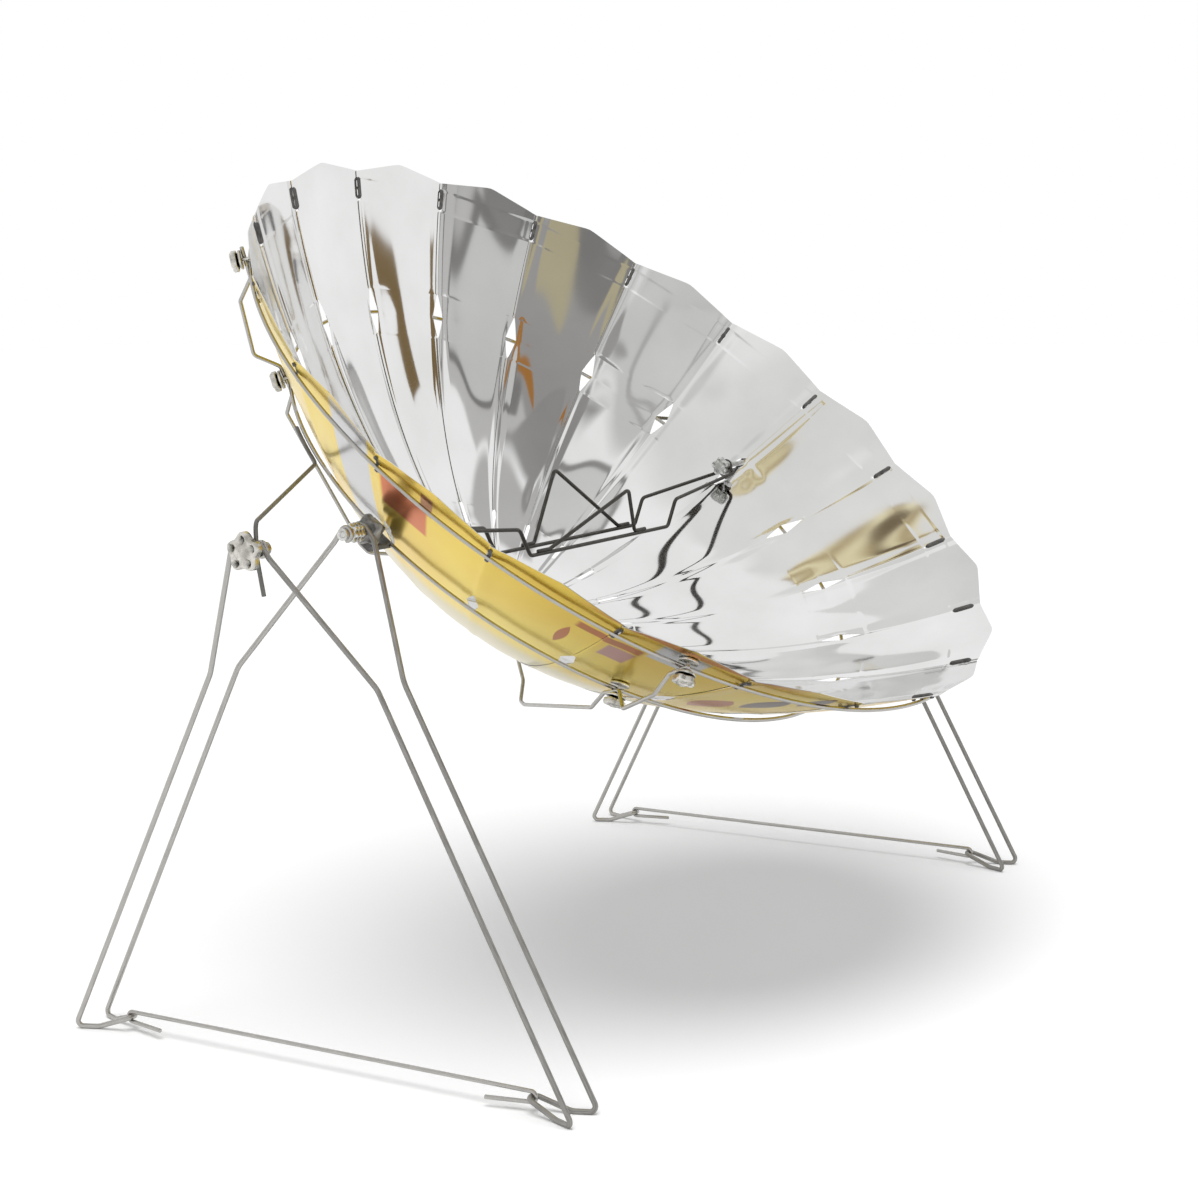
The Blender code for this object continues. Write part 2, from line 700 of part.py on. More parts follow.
def add_washers(collection, parent, material):
    outer = outer_stack()
    wide, narrow = WASHER_REACH / 2, BOLT_FLANGE * 1.2
    wing = [(narrow, -wide * 0.4), (wide * 0.5, wide), (-wide * 0.5, wide),
            (-narrow, -wide * 0.4), (-narrow * 0.5, -narrow), (narrow * 0.5, -narrow)]
    for side, word in ((-1, "left"), (1, "right")):
        washer = flat_plate(f"wing_washer_{word}", wing, WASHER_DEPTH, ((0.0, 0.0, BOLT + GAP),))
        frame = along_x(outer["washer"] + WASHER_DEPTH / 2, side)
        place(washer, collection, parent, material, frame)


# The crank wire lies against the mid ring, runs out to the outer bolt, passes down beside it
# and kicks forwards. Its route is set at rest, in the floor's frame, and turned into the
# dish's.
def add_cranks(collection, parent, material):
    outer = outer_stack()
    beside = -(BOLT + GAP + RING_WIRE)
    tilt = Matrix.Rotation(math.radians(-DISH_TILT), 3, "X")
    top = tilt @ Vector((outer["crank"], beside, CRANK_TOP))
    knee = tilt @ Vector((outer["crank"], beside, -CRANK_KNEE))
    tail = tilt @ Vector((outer["crank"], beside - CRANK_KICK, -CRANK_TAIL))
    for side, word in ((-1, "left"), (1, "right")):
        path = []
        for step in (10.0, 5.0, 0.0):
            angle = math.radians(180.0 - CRANK_ANGLE + step)
            spot = dish_point(WINDOW_RADIUS, angle, MID_RING_STANDOFF + 2 * RING_WIRE + 3 * GAP)
            path.append(Vector((side * spot.x, spot.y, spot.z)))
        for spot in (top, knee, tail):
            path.append(Vector((side * spot.x, spot.y, spot.z)))
        path = rounded(path, (0.0, 0.020, 0.008, 0.015))
        place(wire_curve(f"crank_{word}", path, RING_WIRE), collection, parent, material)


# One wire makes one leg: a hook round the outer bolt, down to the foot, inwards to a tip
# that the link wire holds, back to the second foot and up to a hook round the inner bolt.
# The rear leg's outer hook first runs back nearly level, then turns down.
def leg_path(side, front, tip_radius):
    inner, outer = inner_stack(), outer_stack()
    eye = "front_eye" if front < 0 else "rear_eye"
    foot = LEG_WIRE - FOOT_SINK
    loop = BOLT + GAP + LEG_WIRE
    heading = Vector((0.0, front * BEND_REACH, BEND_HEIGHT - AXIS_HEIGHT)).normalized()
    top = Vector((side * outer[eye], 0.0, AXIS_HEIGHT))
    low = Vector((side * inner[eye], 0.0, AXIS_HEIGHT))
    lean, run = heading, HOOK_RUN
    if front > 0:
        lean, run = Vector((0.0, front, -REAR_HOOK_FALL)).normalized(), REAR_HOOK_RUN
    first = hook(top, loop, lean, front)
    last = list(reversed(hook(low, loop, heading, front)))
    tip_x = (FOOT_OUTER + FOOT_INNER) / 2
    share = FOOT_FLAT / (FOOT_REACH - TIP_REACH)
    flat_y = FOOT_REACH - FOOT_FLAT
    corners = [
        (BEND_OUTER, BEND_REACH, BEND_HEIGHT), (FOOT_OUTER, FOOT_REACH, foot),
        (FOOT_OUTER + (tip_x - FOOT_OUTER) * share, flat_y, foot),
        (tip_x + tip_radius, TIP_REACH, TIP_HEIGHT), (tip_x - tip_radius, TIP_REACH, TIP_HEIGHT),
        (FOOT_INNER + (tip_x - FOOT_INNER) * share, flat_y, foot),
        (FOOT_INNER, FOOT_REACH, foot), (BEND_INNER, BEND_REACH, BEND_HEIGHT),
    ]
    sharp, tip = 0.005, tip_radius * 1.6
    radii = (0.010, 0.030, sharp, 0.020, tip, tip, 0.020, sharp, 0.030, 0.010)
    middle = [Vector((side * x, front * y, z)) for x, y, z in corners]
    away = heading * HOOK_RUN * loop
    middle = [first[-1] + lean * run * loop, *middle, last[0] + away]
    turns = rounded([first[-1], *middle, last[0]], radii, steps=2)
    return first[:-1] + turns + last[1:]


def floor_cutter(collection):
    shape = bmesh.new()
    bmesh.ops.create_cube(shape, size=1.0)
    bmesh.ops.scale(shape, verts=shape.verts, vec=(1.4, 1.0, 0.02))
    bmesh.ops.translate(shape, verts=shape.verts, vec=(0.0, 0.0, -0.01))
    mesh = bpy.data.meshes.new("floor_cutter")
    shape.to_mesh(mesh)
    shape.free()
    cutter = bpy.data.objects.new("floor_cutter", mesh)
    collection.objects.link(cutter)
    cutter.hide_render = True
    cutter.display_type = "WIRE"
    return cutter


def add_legs(collection, cutters, axes, material):
    ground = floor_cutter(cutters)
    tip_radius = LINK_WIRE + LEG_WIRE + 4 * GAP
    for side, word in ((-1, "left"), (1, "right")):
        for front, end in ((-1, "front"), (1, "rear")):
            path = leg_path(side, front, tip_radius)
            leg = wire_curve(f"{end}_leg_{word}", path, LEG_WIRE)
            parent = axes["rear_legs"] if front > 0 else axes[f"front_leg_{word}"]
            place(leg, collection, None, material)
            leg = as_mesh(leg)
            leg.parent = parent
            leg.matrix_parent_inverse = Matrix.Translation(-parent.location)
            cut(leg, ground)


# The link wire ties the two legs of one stand: each end hooks over a leg's tip and comes
# back under itself as a short tail.
def add_links(collection, axes, material):
    loop = LEG_WIRE + GAP + LINK_WIRE
    x = (FOOT_OUTER + FOOT_INNER) / 2
    for side, word in ((-1, "left"), (1, "right")):
        parent = axes[f"link_{word}"]
        path = []
        for front in (1, -1):
            centre = Vector((side * x, front * TIP_REACH, TIP_HEIGHT))
            half = []
            for step in range(9):
                turn = math.pi * (step / 8 - 0.5)
                half.append(centre + loop * Vector((0.0, front * math.cos(turn), math.sin(turn))))
            tail = centre + Vector((side * LINK_TAIL * 0.2, -front * LINK_TAIL, -loop))
            half.insert(0, tail)
            path += half if front > 0 else list(reversed(half))
        path = [point - parent.location for point in path]
        link = wire_curve(f"link_{word}", path, LINK_WIRE)
        place(link, collection, parent, material)


# The pot cradle hangs on the inner ends of the inner bolts. Each rod hooks on both bolts
# and dips into the dish; a bent bail is welded on each rod to hold the pot's side.
def add_cradle(collection, cutters, parent, rod_material, knob_material):
    stack = inner_stack()
    loop = BOLT + GAP + CRADLE_WIRE
    rise = 0.55 * CRADLE_DROP
    lean = math.radians(CRADLE_LEAN)
    for front, end in ((-1, "front"), (1, "rear")):
        heading = Vector((0.0, front * math.sin(lean), -math.cos(lean)))
        eyes = []
        for side in (-1, 1):
            eye = "first_eye" if side * front > 0 else "second_eye"
            centre = Vector((side * stack[eye], 0.0, 0.0))
            eyes.append(hook(centre, loop, heading, front))
        middle = []
        for side, eye in ((-1, eyes[0]), (1, eyes[1])):
            shoulder = CRADLE_HALF_LENGTH + CRADLE_SHOULDER
            drop = [
                eye[-1] + heading * HOOK_RUN * loop,
                (side * shoulder, front * CRADLE_HALF_WIDTH, rise - CRADLE_DROP),
                (side * CRADLE_HALF_LENGTH, front * CRADLE_HALF_WIDTH, -CRADLE_DROP),
            ]
            middle += drop if side < 0 else list(reversed(drop))
        path = eyes[0][:-1]
        bends = (0.004, 0.010, 0.008, 0.008, 0.010, 0.004)
        path += rounded([eyes[0][-1], *middle, eyes[1][-1]], bends, steps=2)
        path += list(reversed(eyes[1]))[1:]
        rod = wire_curve(f"cradle_frame_{end}", path, CRADLE_WIRE)
        place(rod, collection, parent, rod_material)
        rod = as_mesh(rod)
        top = -CRADLE_DROP + 1.5 * CRADLE_WIRE
        apex_x, apex_y, apex_z = BAIL_APEX_FRONT if front < 0 else BAIL_APEX_REAR
        spots = [
            (-BAIL_START - BAIL_WELD, CRADLE_HALF_WIDTH, top), (-BAIL_START, CRADLE_HALF_WIDTH, top),
            (apex_x, apex_y, apex_z), (BAIL_END, CRADLE_HALF_WIDTH, top),
            (BAIL_END + BAIL_WELD, CRADLE_HALF_WIDTH, top),
        ]
        route = [Vector((-front * px, front * py, pz)) for px, py, pz in spots]
        route = rounded(route, (0.010, 0.007, 0.008), steps=3)
        bail = wire_curve(f"bail_{end}", route, CRADLE_WIRE)
        place(bail, cutters, parent, rod_material)
        bail = as_mesh(bail)
        bail.hide_render = True
        bail.display_type = "WIRE"
        weld = rod.modifiers.new("weld", "BOOLEAN")
        weld.operation = "UNION"
        weld.object = bail
    bore = BOLT + GAP
    deep = CRADLE_KNOB_DEPTH / 2 + GAP
    stations = (
        (deep, bore, 0.0), (0.0, bore, 0.0), (0.0, CRADLE_KNOB * 0.7, 0.0),
        (CRADLE_KNOB_DEPTH * 0.25, CRADLE_KNOB, CRADLE_KNOB_LOBE),
        (CRADLE_KNOB_DEPTH * 0.75, CRADLE_KNOB, CRADLE_KNOB_LOBE),
        (CRADLE_KNOB_DEPTH, CRADLE_KNOB * 0.7, CRADLE_KNOB_LOBE * 0.6),
    )
    for side, word in ((-1, "left"), (1, "right")):
        mesh = knob_mesh(f"cradle_knob_{word}", stations, count=15)
        item = bpy.data.objects.new(f"cradle_knob_{word}", mesh)
        frame = Matrix.Rotation(-side * math.pi / 2, 4, "Y")
        frame.translation = Vector((side * stack["cradle_knob"], 0.0, 0.0))
        place(item, collection, parent, knob_material, frame)


def add_axes(collection):
    tip_x = (FOOT_OUTER + FOOT_INNER) / 2
    spots = {
        "rear_legs": (0.0, 0.0, AXIS_HEIGHT), "dish": (0.0, 0.0, AXIS_HEIGHT),
        "front_leg_left": (0.0, 0.0, AXIS_HEIGHT), "front_leg_right": (0.0, 0.0, AXIS_HEIGHT),
        "cradle": (0.0, 0.0, AXIS_HEIGHT),
        "link_left": (-tip_x, TIP_REACH, TIP_HEIGHT), "link_right": (tip_x, TIP_REACH, TIP_HEIGHT),
    }
    axes = {}
    for name, spot in spots.items():
        empty = bpy.data.objects.new("axis_" + name, None)
        collection.objects.link(empty)
        empty.location = spot
        axes[name] = empty
    axes["dish"].rotation_euler = (math.radians(DISH_TILT), 0.0, 0.0)
    bpy.context.view_layer.update()
    return axes


def build():
    clear_scene()
    parts = new_collection("solar_cooker")
    cutters = new_collection("solar_cooker_cutters")
    axes = add_axes(parts)
    dish = axes["dish"]
    film, steel, dark = mirror_film(), steel_wire(), dark_wire()
    cast, black, bright = pale_cast(), dark_knob(), bright_knob()
    bolt_way = cutter_cylinder("bolt_way", cutters, dish, BOLT + 8 * GAP, 2 * OUTER_STACK,
                               Matrix.Rotation(math.pi / 2, 4, "Y"))
    add_petals(parts, dish, film, bolt_way)
    add_rings(parts, dish, steel)
    add_hub(parts, dish, film, cast)
    add_braces(parts, dish, steel)
    add_ring_clamps(parts, dish, bright)
    add_bolts(parts, dish, steel)
    add_knobs(parts, dish, black, bright)
    add_saddles(parts, cutters, dish, black)
    add_washers(parts, dish, cast)
    add_cranks(parts, dish, steel)
    add_legs(parts, cutters, axes, steel)
    add_links(parts, axes, steel)
    add_cradle(parts, cutters, axes["cradle"], dark, bright)


build()
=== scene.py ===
# Solar cooker: a dish of twenty mirror petals on two folding wire stands.
import json
import math

import bmesh
import bpy
import numpy as np
from mathutils import Matrix, Vector


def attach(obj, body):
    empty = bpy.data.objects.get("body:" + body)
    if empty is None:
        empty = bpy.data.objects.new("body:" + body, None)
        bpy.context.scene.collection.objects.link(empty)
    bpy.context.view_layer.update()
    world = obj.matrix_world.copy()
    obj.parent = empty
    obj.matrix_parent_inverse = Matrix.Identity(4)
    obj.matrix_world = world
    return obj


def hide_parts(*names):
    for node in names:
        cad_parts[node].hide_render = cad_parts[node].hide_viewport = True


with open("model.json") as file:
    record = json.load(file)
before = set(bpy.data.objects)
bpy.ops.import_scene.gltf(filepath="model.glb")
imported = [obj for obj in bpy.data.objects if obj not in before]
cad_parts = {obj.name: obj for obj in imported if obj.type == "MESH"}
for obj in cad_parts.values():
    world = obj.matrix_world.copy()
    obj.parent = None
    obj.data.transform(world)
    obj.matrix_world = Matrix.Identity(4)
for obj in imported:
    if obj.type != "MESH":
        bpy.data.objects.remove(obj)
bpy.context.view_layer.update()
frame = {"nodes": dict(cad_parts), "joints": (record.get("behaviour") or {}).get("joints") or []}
joints = {joint["name"]: joint for joint in frame["joints"]}
print("frame loaded,", len(frame["nodes"]), "nodes")

gap = 0.0003  # clearance between touching pieces, as in the solids
weldReach = 0.000002  # points closer than this are one point


# A closed skin over a grid of points, (rows, columns, 3). Columns run round the piece and close
# on themselves; a row whose points coincide becomes a pole.
def gridShell(points, uv=None, closedRows=False):
    rows, columns = points.shape[:2]
    index = np.arange(rows * columns).reshape(rows, columns)
    low = index if closedRows else index[:-1]
    high = np.roll(index, -1, axis=0) if closedRows else index[1:]
    quads = np.stack([low, np.roll(low, -1, 1), np.roll(high, -1, 1), high], -1).reshape(-1, 4)
    if uv is None:
        across, along = np.meshgrid(np.arange(columns) / columns, np.arange(rows) / rows)
        uv = np.stack([across, along], -1)
    return {"verts": points.reshape(-1, 3), "faces": quads.tolist(), "uv": uv.reshape(-1, 2)}


# Puts shells into one list of points and faces.
def joinShells(shells):
    faces, shift = [], 0
    for shell in shells:
        faces += [[corner + shift for corner in face] for face in shell["faces"]]
        shift += len(shell["verts"])
    verts = np.concatenate([shell["verts"] for shell in shells])
    uv = np.concatenate([shell["uv"] for shell in shells])
    return {"verts": verts, "faces": faces, "uv": uv}


# Turns and shifts a shell's points by a matrix.
def moveShell(shell, matrix):
    turn = np.array(matrix.to_3x3())
    moved = shell["verts"] @ turn.T + np.array(matrix.translation)
    return {**shell, "verts": moved}


# Makes the object, welds its poles and turns its faces outwards.
def makePiece(name, shell, materials, body, nodes=(), faceMaterial=None, sharp=40):
    mesh = bpy.data.meshes.new(name)
    mesh.from_pydata(shell["verts"].tolist(), [], shell["faces"])
    corners = np.empty(len(mesh.loops), np.int32)
    mesh.loops.foreach_get("vertex_index", corners)
    layer = mesh.uv_layers.new(name="surface")
    layer.data.foreach_set("uv", shell["uv"][corners].astype(np.float32).ravel())
    for material in materials:
        mesh.materials.append(material)
    if faceMaterial is not None:
        mesh.polygons.foreach_set("material_index", faceMaterial)
    tidy = bmesh.new()
    tidy.from_mesh(mesh)
    bmesh.ops.remove_doubles(tidy, verts=tidy.verts, dist=weldReach)
    bmesh.ops.recalc_face_normals(tidy, faces=tidy.faces)
    tidy.to_mesh(mesh)
    tidy.free()
    mesh.shade_smooth()
    mesh.set_sharp_from_angle(angle=math.radians(sharp))
    piece = bpy.data.objects.new(name, mesh)
    bpy.context.scene.collection.objects.link(piece)
    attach(piece, body)
    if nodes:
        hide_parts(*nodes)
    return piece


straight = 0.02  # a turn, in radians, that is too small to round
sideShare = 0.48  # how much of a side an arc may use up


# Rounds the corners of a path: each corner becomes an arc of the given radius, or of the
# largest radius that its two sides have room for.
def rounded(points, radii, steps=8):
    points = [Vector(point) for point in points]
    path = [points[0]]
    for corner, before, after, radius in zip(points[1:-1], points, points[2:], radii):
        toBefore, toAfter = before - corner, after - corner
        turn = math.pi - toBefore.angle(toAfter)
        if turn < straight or radius <= 0.0:
            path.append(corner)
            continue
        room = sideShare * min(toBefore.length, toAfter.length)
        tangent = min(radius * math.tan(turn / 2), room)
        bend = tangent / math.tan(turn / 2)
        middle = (toBefore.normalized() + toAfter.normalized()).normalized()
        centre = corner + middle * bend / math.cos(turn / 2)
        first = corner + toBefore.normalized() * tangent - centre
        second = corner + toAfter.normalized() * tangent - centre
        for step in range(steps + 1):
            share = step / steps
            low = math.sin((1 - share) * turn) / math.sin(turn)
            high = math.sin(share * turn) / math.sin(turn)
            path.append(centre + low * first + high * second)
    path.append(points[-1])
    return path


# The domed end of a wire: its height as a share of the wire's radius, then the rings on it,
# their depths as shares of that height and their radii as shares of the wire's.
wireEnd = {"dome": 0.35, "depths": (0.0, 0.15, 0.55, 1.0), "radii": (0.0, 0.55, 0.9, 1.0)}


# A circle carried along a path. Each ring stands square to the path, and its start direction
# is handed on from ring to ring, so that the tube doesn't twist. Open ends are domed.
def tubeShell(path, radius, sides=14, closed=False):
    path = np.array([tuple(point) for point in path])
    count = len(wireEnd["depths"])
    if closed:
        tangent = np.roll(path, -1, 0) - np.roll(path, 1, 0)
    else:
        first, last = path[0] - path[1], path[-1] - path[-2]
        first, last = first / np.linalg.norm(first), last / np.linalg.norm(last)
        depth = wireEnd["dome"] * radius * np.array(wireEnd["depths"])[:, None]
        path = np.concatenate([path[:1] - depth * first, path[1:-1],
                               (path[-1:] - depth * last)[::-1]])
        tangent = np.gradient(path, axis=0)
        tangent[:count], tangent[-count:] = -first, last
    tangent /= np.linalg.norm(tangent, axis=1)[:, None]
    upright = abs(tangent[0][2]) > 0.9
    side = np.cross(tangent[0], (1.0, 0.0, 0.0) if upright else (0.0, 0.0, 1.0))
    sideways = []
    for direction in tangent:
        side = side - direction * side.dot(direction)
        side = side / np.linalg.norm(side)
        sideways.append(side)
    sideways = np.array(sideways)
    square = np.cross(tangent, sideways)
    angle = np.linspace(0, 2 * math.pi, sides, endpoint=False)
    size = np.full(len(path), radius)
    if not closed:
        size[:count] = radius * np.array(wireEnd["radii"])
        size[-count:] = size[:count][::-1]
    ring = (np.cos(angle)[None, :, None] * sideways[:, None, :]
            + np.sin(angle)[None, :, None] * square[:, None, :])
    points = path[:, None, :] + size[:, None, None] * ring
    run = np.concatenate([[0.0], np.cumsum(np.linalg.norm(np.diff(path, axis=0), axis=1))])
    uv = np.stack(np.broadcast_arrays((angle / (2 * math.pi))[None, :], run[:, None]), -1)
    return gridShell(points, uv, closedRows=closed)


# A turned or lobed piece. Stations are (height, radius, lobe depth, pocket depth): at angle a
# the radius is r - depth * (1 - cos(lobes * a)) / 2, and pockets sink the height between lobes.
def turnedShell(stations, sides=48, lobes=5):
    height, radius, depth, pocket = np.array([(*s, 0.0, 0.0)[:4] for s in stations]).T
    angle = np.linspace(0, 2 * math.pi, sides, endpoint=False)
    valley = (1 - np.cos(lobes * angle)) / 2
    reach = radius[:, None] - depth[:, None] * valley[None, :]
    rise = height[:, None] - pocket[:, None] * (1 - valley[None, :]) ** 2
    points = np.stack([reach * np.cos(angle), reach * np.sin(angle), rise], -1)
    return gridShell(points)


# Rounds the corners of an outline or a profile that lies flat.
def roundedFlat(points, radius, steps):
    corners = [Vector((x, y, 0.0)) for x, y in points]
    return [(spot.x, spot.y) for spot in rounded(corners, [radius] * (len(points) - 2), steps)]


# Softens the corners of a turned profile; stations stay in order.
def softStations(stations, radius=0.0005, steps=3):
    full = [(*s, 0.0, 0.0)[:4] for s in stations]
    soft = [full[0]]
    for before, station, after in zip(full, full[1:], full[2:]):
        arc = roundedFlat([before[:2], station[:2], after[:2]], radius, steps)[1:-1]
        soft += [(*spot, *station[2:]) for spot in arc]
    return soft + [full[-1]]


# A flat outline given thickness, with its rims softened: three loops for each face, the outer
# two drawn in along the outline's own corner directions.
def plateShell(outline, depth, soft):
    loop = np.array(outline)
    ahead, behind = np.roll(loop, -1, 0) - loop, loop - np.roll(loop, 1, 0)
    along = ahead / np.linalg.norm(ahead, axis=1)[:, None]
    along = along + behind / np.linalg.norm(behind, axis=1)[:, None]
    along /= np.linalg.norm(along, axis=1)[:, None]
    inward = np.stack([-along[:, 1], along[:, 0]], -1)
    area = np.sum(loop[:, 0] * np.roll(loop[:, 1], -1) - np.roll(loop[:, 0], -1) * loop[:, 1])
    inward *= math.copysign(1.0, area)
    rows, pulls = [], (1.0, 0.3, 0.0)
    for level, pull in [(-0.5, pull) for pull in pulls] + [(0.5, pull) for pull in pulls[::-1]]:
        height = level * depth + math.copysign(1.0, -level) * soft * (1 - pull) ** 2
        flat = loop + inward * soft * pull
        rows.append(np.column_stack([flat, np.full(len(loop), height)]))
    shell = gridShell(np.array(rows))
    count, last = len(loop), (len(rows) - 1) * len(loop)
    shell["faces"] += [list(range(count)), list(range(last, last + count))]
    return shell


# The hex code of an sRGB colour as linear red, green and blue, with an alpha of 1.
def linear(code):
    channels = [int(code[i:i + 2], 16) / 255 for i in (1, 3, 5)]
    return [c / 12.92 if c <= 0.04045 else ((c + 0.055) / 1.055) ** 2.4
            for c in channels] + [1.0]


# Adds a node, sets its sockets, its properties or a ramp's two stops, and links its inputs.
def addNode(tree, kind, settings=None, links=None):
    node = tree.nodes.new(kind)
    for name, value in (settings or {}).items():
        if name == "ramp":
            for element, (place, colour) in zip(node.color_ramp.elements, value):
                element.position = place
                element.color = colour
        elif isinstance(name, int) or name in node.inputs.keys():
            node.inputs[name].default_value = value
        else:
            setattr(node, name, value)
    return linkNode(tree, node, links or {})


# Links a node's inputs. A source is an output, or a node that stands for its first output.
def linkNode(tree, node, links):
    for name, source in links.items():
        source = source.outputs[0] if isinstance(source, bpy.types.Node) else source
        tree.links.new(source, node.inputs[name])
    return node


# A material whose values are set on its shader's own sockets.
def newMaterial(name, settings):
    material = bpy.data.materials.new(name)
    material.use_nodes = True
    shader = material.node_tree.nodes["Principled BSDF"]
    for socket, value in settings.items():
        shader.inputs[socket].default_value = value
    return material, material.node_tree, shader


# Paints soft-edged patches over a colour, on any pair of coordinates. A patch is its centre,
# two half sizes, a colour and what else it has: a turn in degrees, a shape, an edge, a
# strength, or stripes along y. Inside it x and y run from -1 to 1. A box ends where the larger
# of |x| and |y| is 1, a leaf where |x| + y^2 is 1.
def addPatches(tree, spot, colour, patches, edge):
    for x, y, wide, high, tone, *more in patches:
        patch = {"turn": 0.0, "shape": "box", "edge": edge, "strength": 1.0}
        patch.update(*more)
        local = addNode(tree, "ShaderNodeMapping",
                        {"vector_type": "TEXTURE", "Location": (x, y, 0.0),
                         "Rotation": (0.0, 0.0, math.radians(patch["turn"])),
                         "Scale": (wide, high, 1.0)}, {"Vector": spot})
        size = addNode(tree, "ShaderNodeVectorMath", {"operation": "ABSOLUTE"}, {0: local})
        parts = addNode(tree, "ShaderNodeSeparateXYZ", {}, {"Vector": size})
        sides, rule = {0: parts.outputs["X"], 1: parts.outputs["Y"]}, "MAXIMUM"
        if patch["shape"] == "leaf":
            square = addNode(tree, "ShaderNodeMath", {"operation": "POWER", 1: 2.0},
                             {0: parts.outputs["Y"]})
            sides[1], rule = square, "ADD"
        reach = addNode(tree, "ShaderNodeMath", {"operation": rule}, sides)
        inside = addNode(tree, "ShaderNodeMapRange",
                         {"From Min": 1.0, "From Max": 1.0 - patch["edge"], "To Min": 0.0,
                          "To Max": patch["strength"]}, {"Value": reach})
        links = {0: inside, 6: colour}
        if "stripes" in patch:
            wave = addNode(tree, "ShaderNodeTexWave",
                           {"Scale": patch["stripes"], "Distortion": 0.6}, {"Vector": local})
            stripe = addNode(tree, "ShaderNodeMix",
                             {"data_type": "RGBA", 6: linear(tone),
                              7: linear(patch["stripeColour"])}, {0: wave.outputs[1]})
            links[7] = stripe.outputs[2]
        mixed = addNode(tree, "ShaderNodeMix", {"data_type": "RGBA", 7: linear(tone)}, links)
        colour = mixed.outputs[2]
    return colour


paintedEdge = 0.12  # how much of a painted patch's half size fades
dirtFade = {"From Min": 0.45, "From Max": 0.85}  # how open a hollow is where its painted shade ends


# A finish of two colours, mixed by a noise, the patch. Two roughnesses are mixed by a finer
# noise, the grit, which also gives a bump; without grit the patch mixes them. The coordinates
# are Object, in metres, or UV, stretched as given, and patch and grit count the marks in one
# unit of them. Painted reflections lie on top; painted shade darkens hollows as wide as its
# reach.
def makeFinish(name, look, **change):
    look = {**look, **change}
    material, tree, shader = newMaterial(name, {"Metallic": look["metallic"]})
    where = addNode(tree, "ShaderNodeTexCoord")
    stretch = addNode(tree, "ShaderNodeMapping", {"Scale": look["stretch"]},
                      {"Vector": where.outputs[look["coordinates"]]})
    patch = addNode(tree, "ShaderNodeTexNoise",
                    {"Scale": look["patch"], "Detail": look["detail"]}, {"Vector": stretch})
    low, high = look["blend"]
    tone = addNode(tree, "ShaderNodeValToRGB",
                   {"ramp": [(low, linear(look["dark"])), (high, linear(look["light"]))]},
                   {"Fac": patch})
    grit, links = patch, {}
    if "grit" in look:
        grit = addNode(tree, "ShaderNodeTexNoise", {"Scale": look["grit"], "Detail": 3.0},
                       {"Vector": stretch})
        links["Normal"] = addNode(tree, "ShaderNodeBump",
                                  {"Strength": look["bump"], "Distance": look["depth"]},
                                  {"Height": grit})
    low, high = look["spread"]
    links["Roughness"] = addNode(tree, "ShaderNodeMapRange",
                                 {"From Min": low, "From Max": high,
                                  "To Min": look["smooth"], "To Max": look["rough"]},
                                 {"Value": grit})
    # Painted reflections, on the gold back of the petals, lie over the tone.
    colour = addPatches(tree, where.outputs["UV"], tone, look.get("paintedReflections", []), paintedEdge)
    # Painted shade: the colour darkens in the hollows that ambient occlusion finds.
    if "dirt" in look:
        hollow = addNode(tree, "ShaderNodeAmbientOcclusion",
                         {"Distance": look["dirtReach"], "only_local": True, "samples": 12})
        unshaded = addNode(tree, "ShaderNodeMapRange", dirtFade, {"Value": hollow.outputs["AO"]})
        mixed = addNode(tree, "ShaderNodeMix", {"data_type": "RGBA", 6: linear(look["dirt"])},
                        {0: unshaded, 7: colour})
        colour = mixed.outputs[2]
    linkNode(tree, shader, {"Base Color": colour, **links})
    return material


# Mild steel wire, drawn through a die: a dull satin grey with marks along its length. A wire's
# UV runs once round it and on by the metre, so clouds are 17 mm long. The die's lines are 4 mm
# long and 0.3 mm wide, coarser than real ones so that they show.
wireLook = {"metallic": 1.0, "coordinates": "UV", "stretch": (8.0, 40.0, 1.0), "patch": 1.5,
            "detail": 5.0, "blend": (0.35, 0.65), "grit": 6.0, "spread": (0.3, 0.7),
            "smooth": 0.2, "rough": 0.28, "bump": 0.0, "depth": 0.0001}
steel = makeFinish("drawn_steel", wireLook, dark="#a9a7a3", light="#b8b6b2")

# The same wire, half matt; darker on the front legs as painted shade, darkest on the cranks.
mattWireLook = {**wireLook, "metallic": 0.5, "smooth": 0.3, "rough": 0.45, "bump": 0.1}
shadedSteel = makeFinish("shaded_steel", mattWireLook, dark="#83817d", light="#a09e9a")
darkSteel = makeFinish("dark_steel", mattWireLook, dark="#605f5c", light="#767571")

# The same wire left dark by the heat of bending and welding: a thin black scale.
oxidised = makeFinish("oxidised_steel", wireLook, patch=2.5, grit=7.0, dark="#3c3a37",
                      light="#5d5a55", smooth=0.26, rough=0.42, bump=0.2, depth=0.0002)

# Zinc die casting, tumbled and chromed thinly: pale and half bright, with clouds of 8 mm, an
# orange-peel skin of 1 mm and painted shade darkening its hollows.
castLook = {**wireLook, "coordinates": "Object", "stretch": (1.0, 1.0, 1.0), "smooth": 0.3,
            "rough": 0.45, "bump": 0.3, "depth": 0.0003}
zinc = makeFinish("chromed_zinc", castLook, patch=120.0, grit=900.0, dark="#a8a69f",
                  light="#e0ded7", smooth=0.18, rough=0.36, bump=0.25, dirt="#3f3c36",
                  dirtReach=0.006)

# Aluminium sand casting, brushed over: matt light grey, with a grain of 0.7 mm and painted shade
# darkening its hollows.
cast = makeFinish("cast_aluminium", castLook, patch=90.0, grit=1400.0, dark="#bcbcb9",
                  light="#e2e2e0", dirt="#5c5a55", dirtReach=0.004)

# Moulded nylon: dark grey where new, paler where hands have rubbed it, with a faint grain.
nylonLook = {**castLook, "metallic": 0.0, "patch": 150.0, "grit": 1200.0, "smooth": 0.26}
nylon = makeFinish("moulded_nylon", nylonLook, dark="#3a3937", light="#605e5b")
rubbed = makeFinish("rubbed_nylon", nylonLook, dark="#605f5c", light="#a3a19c")

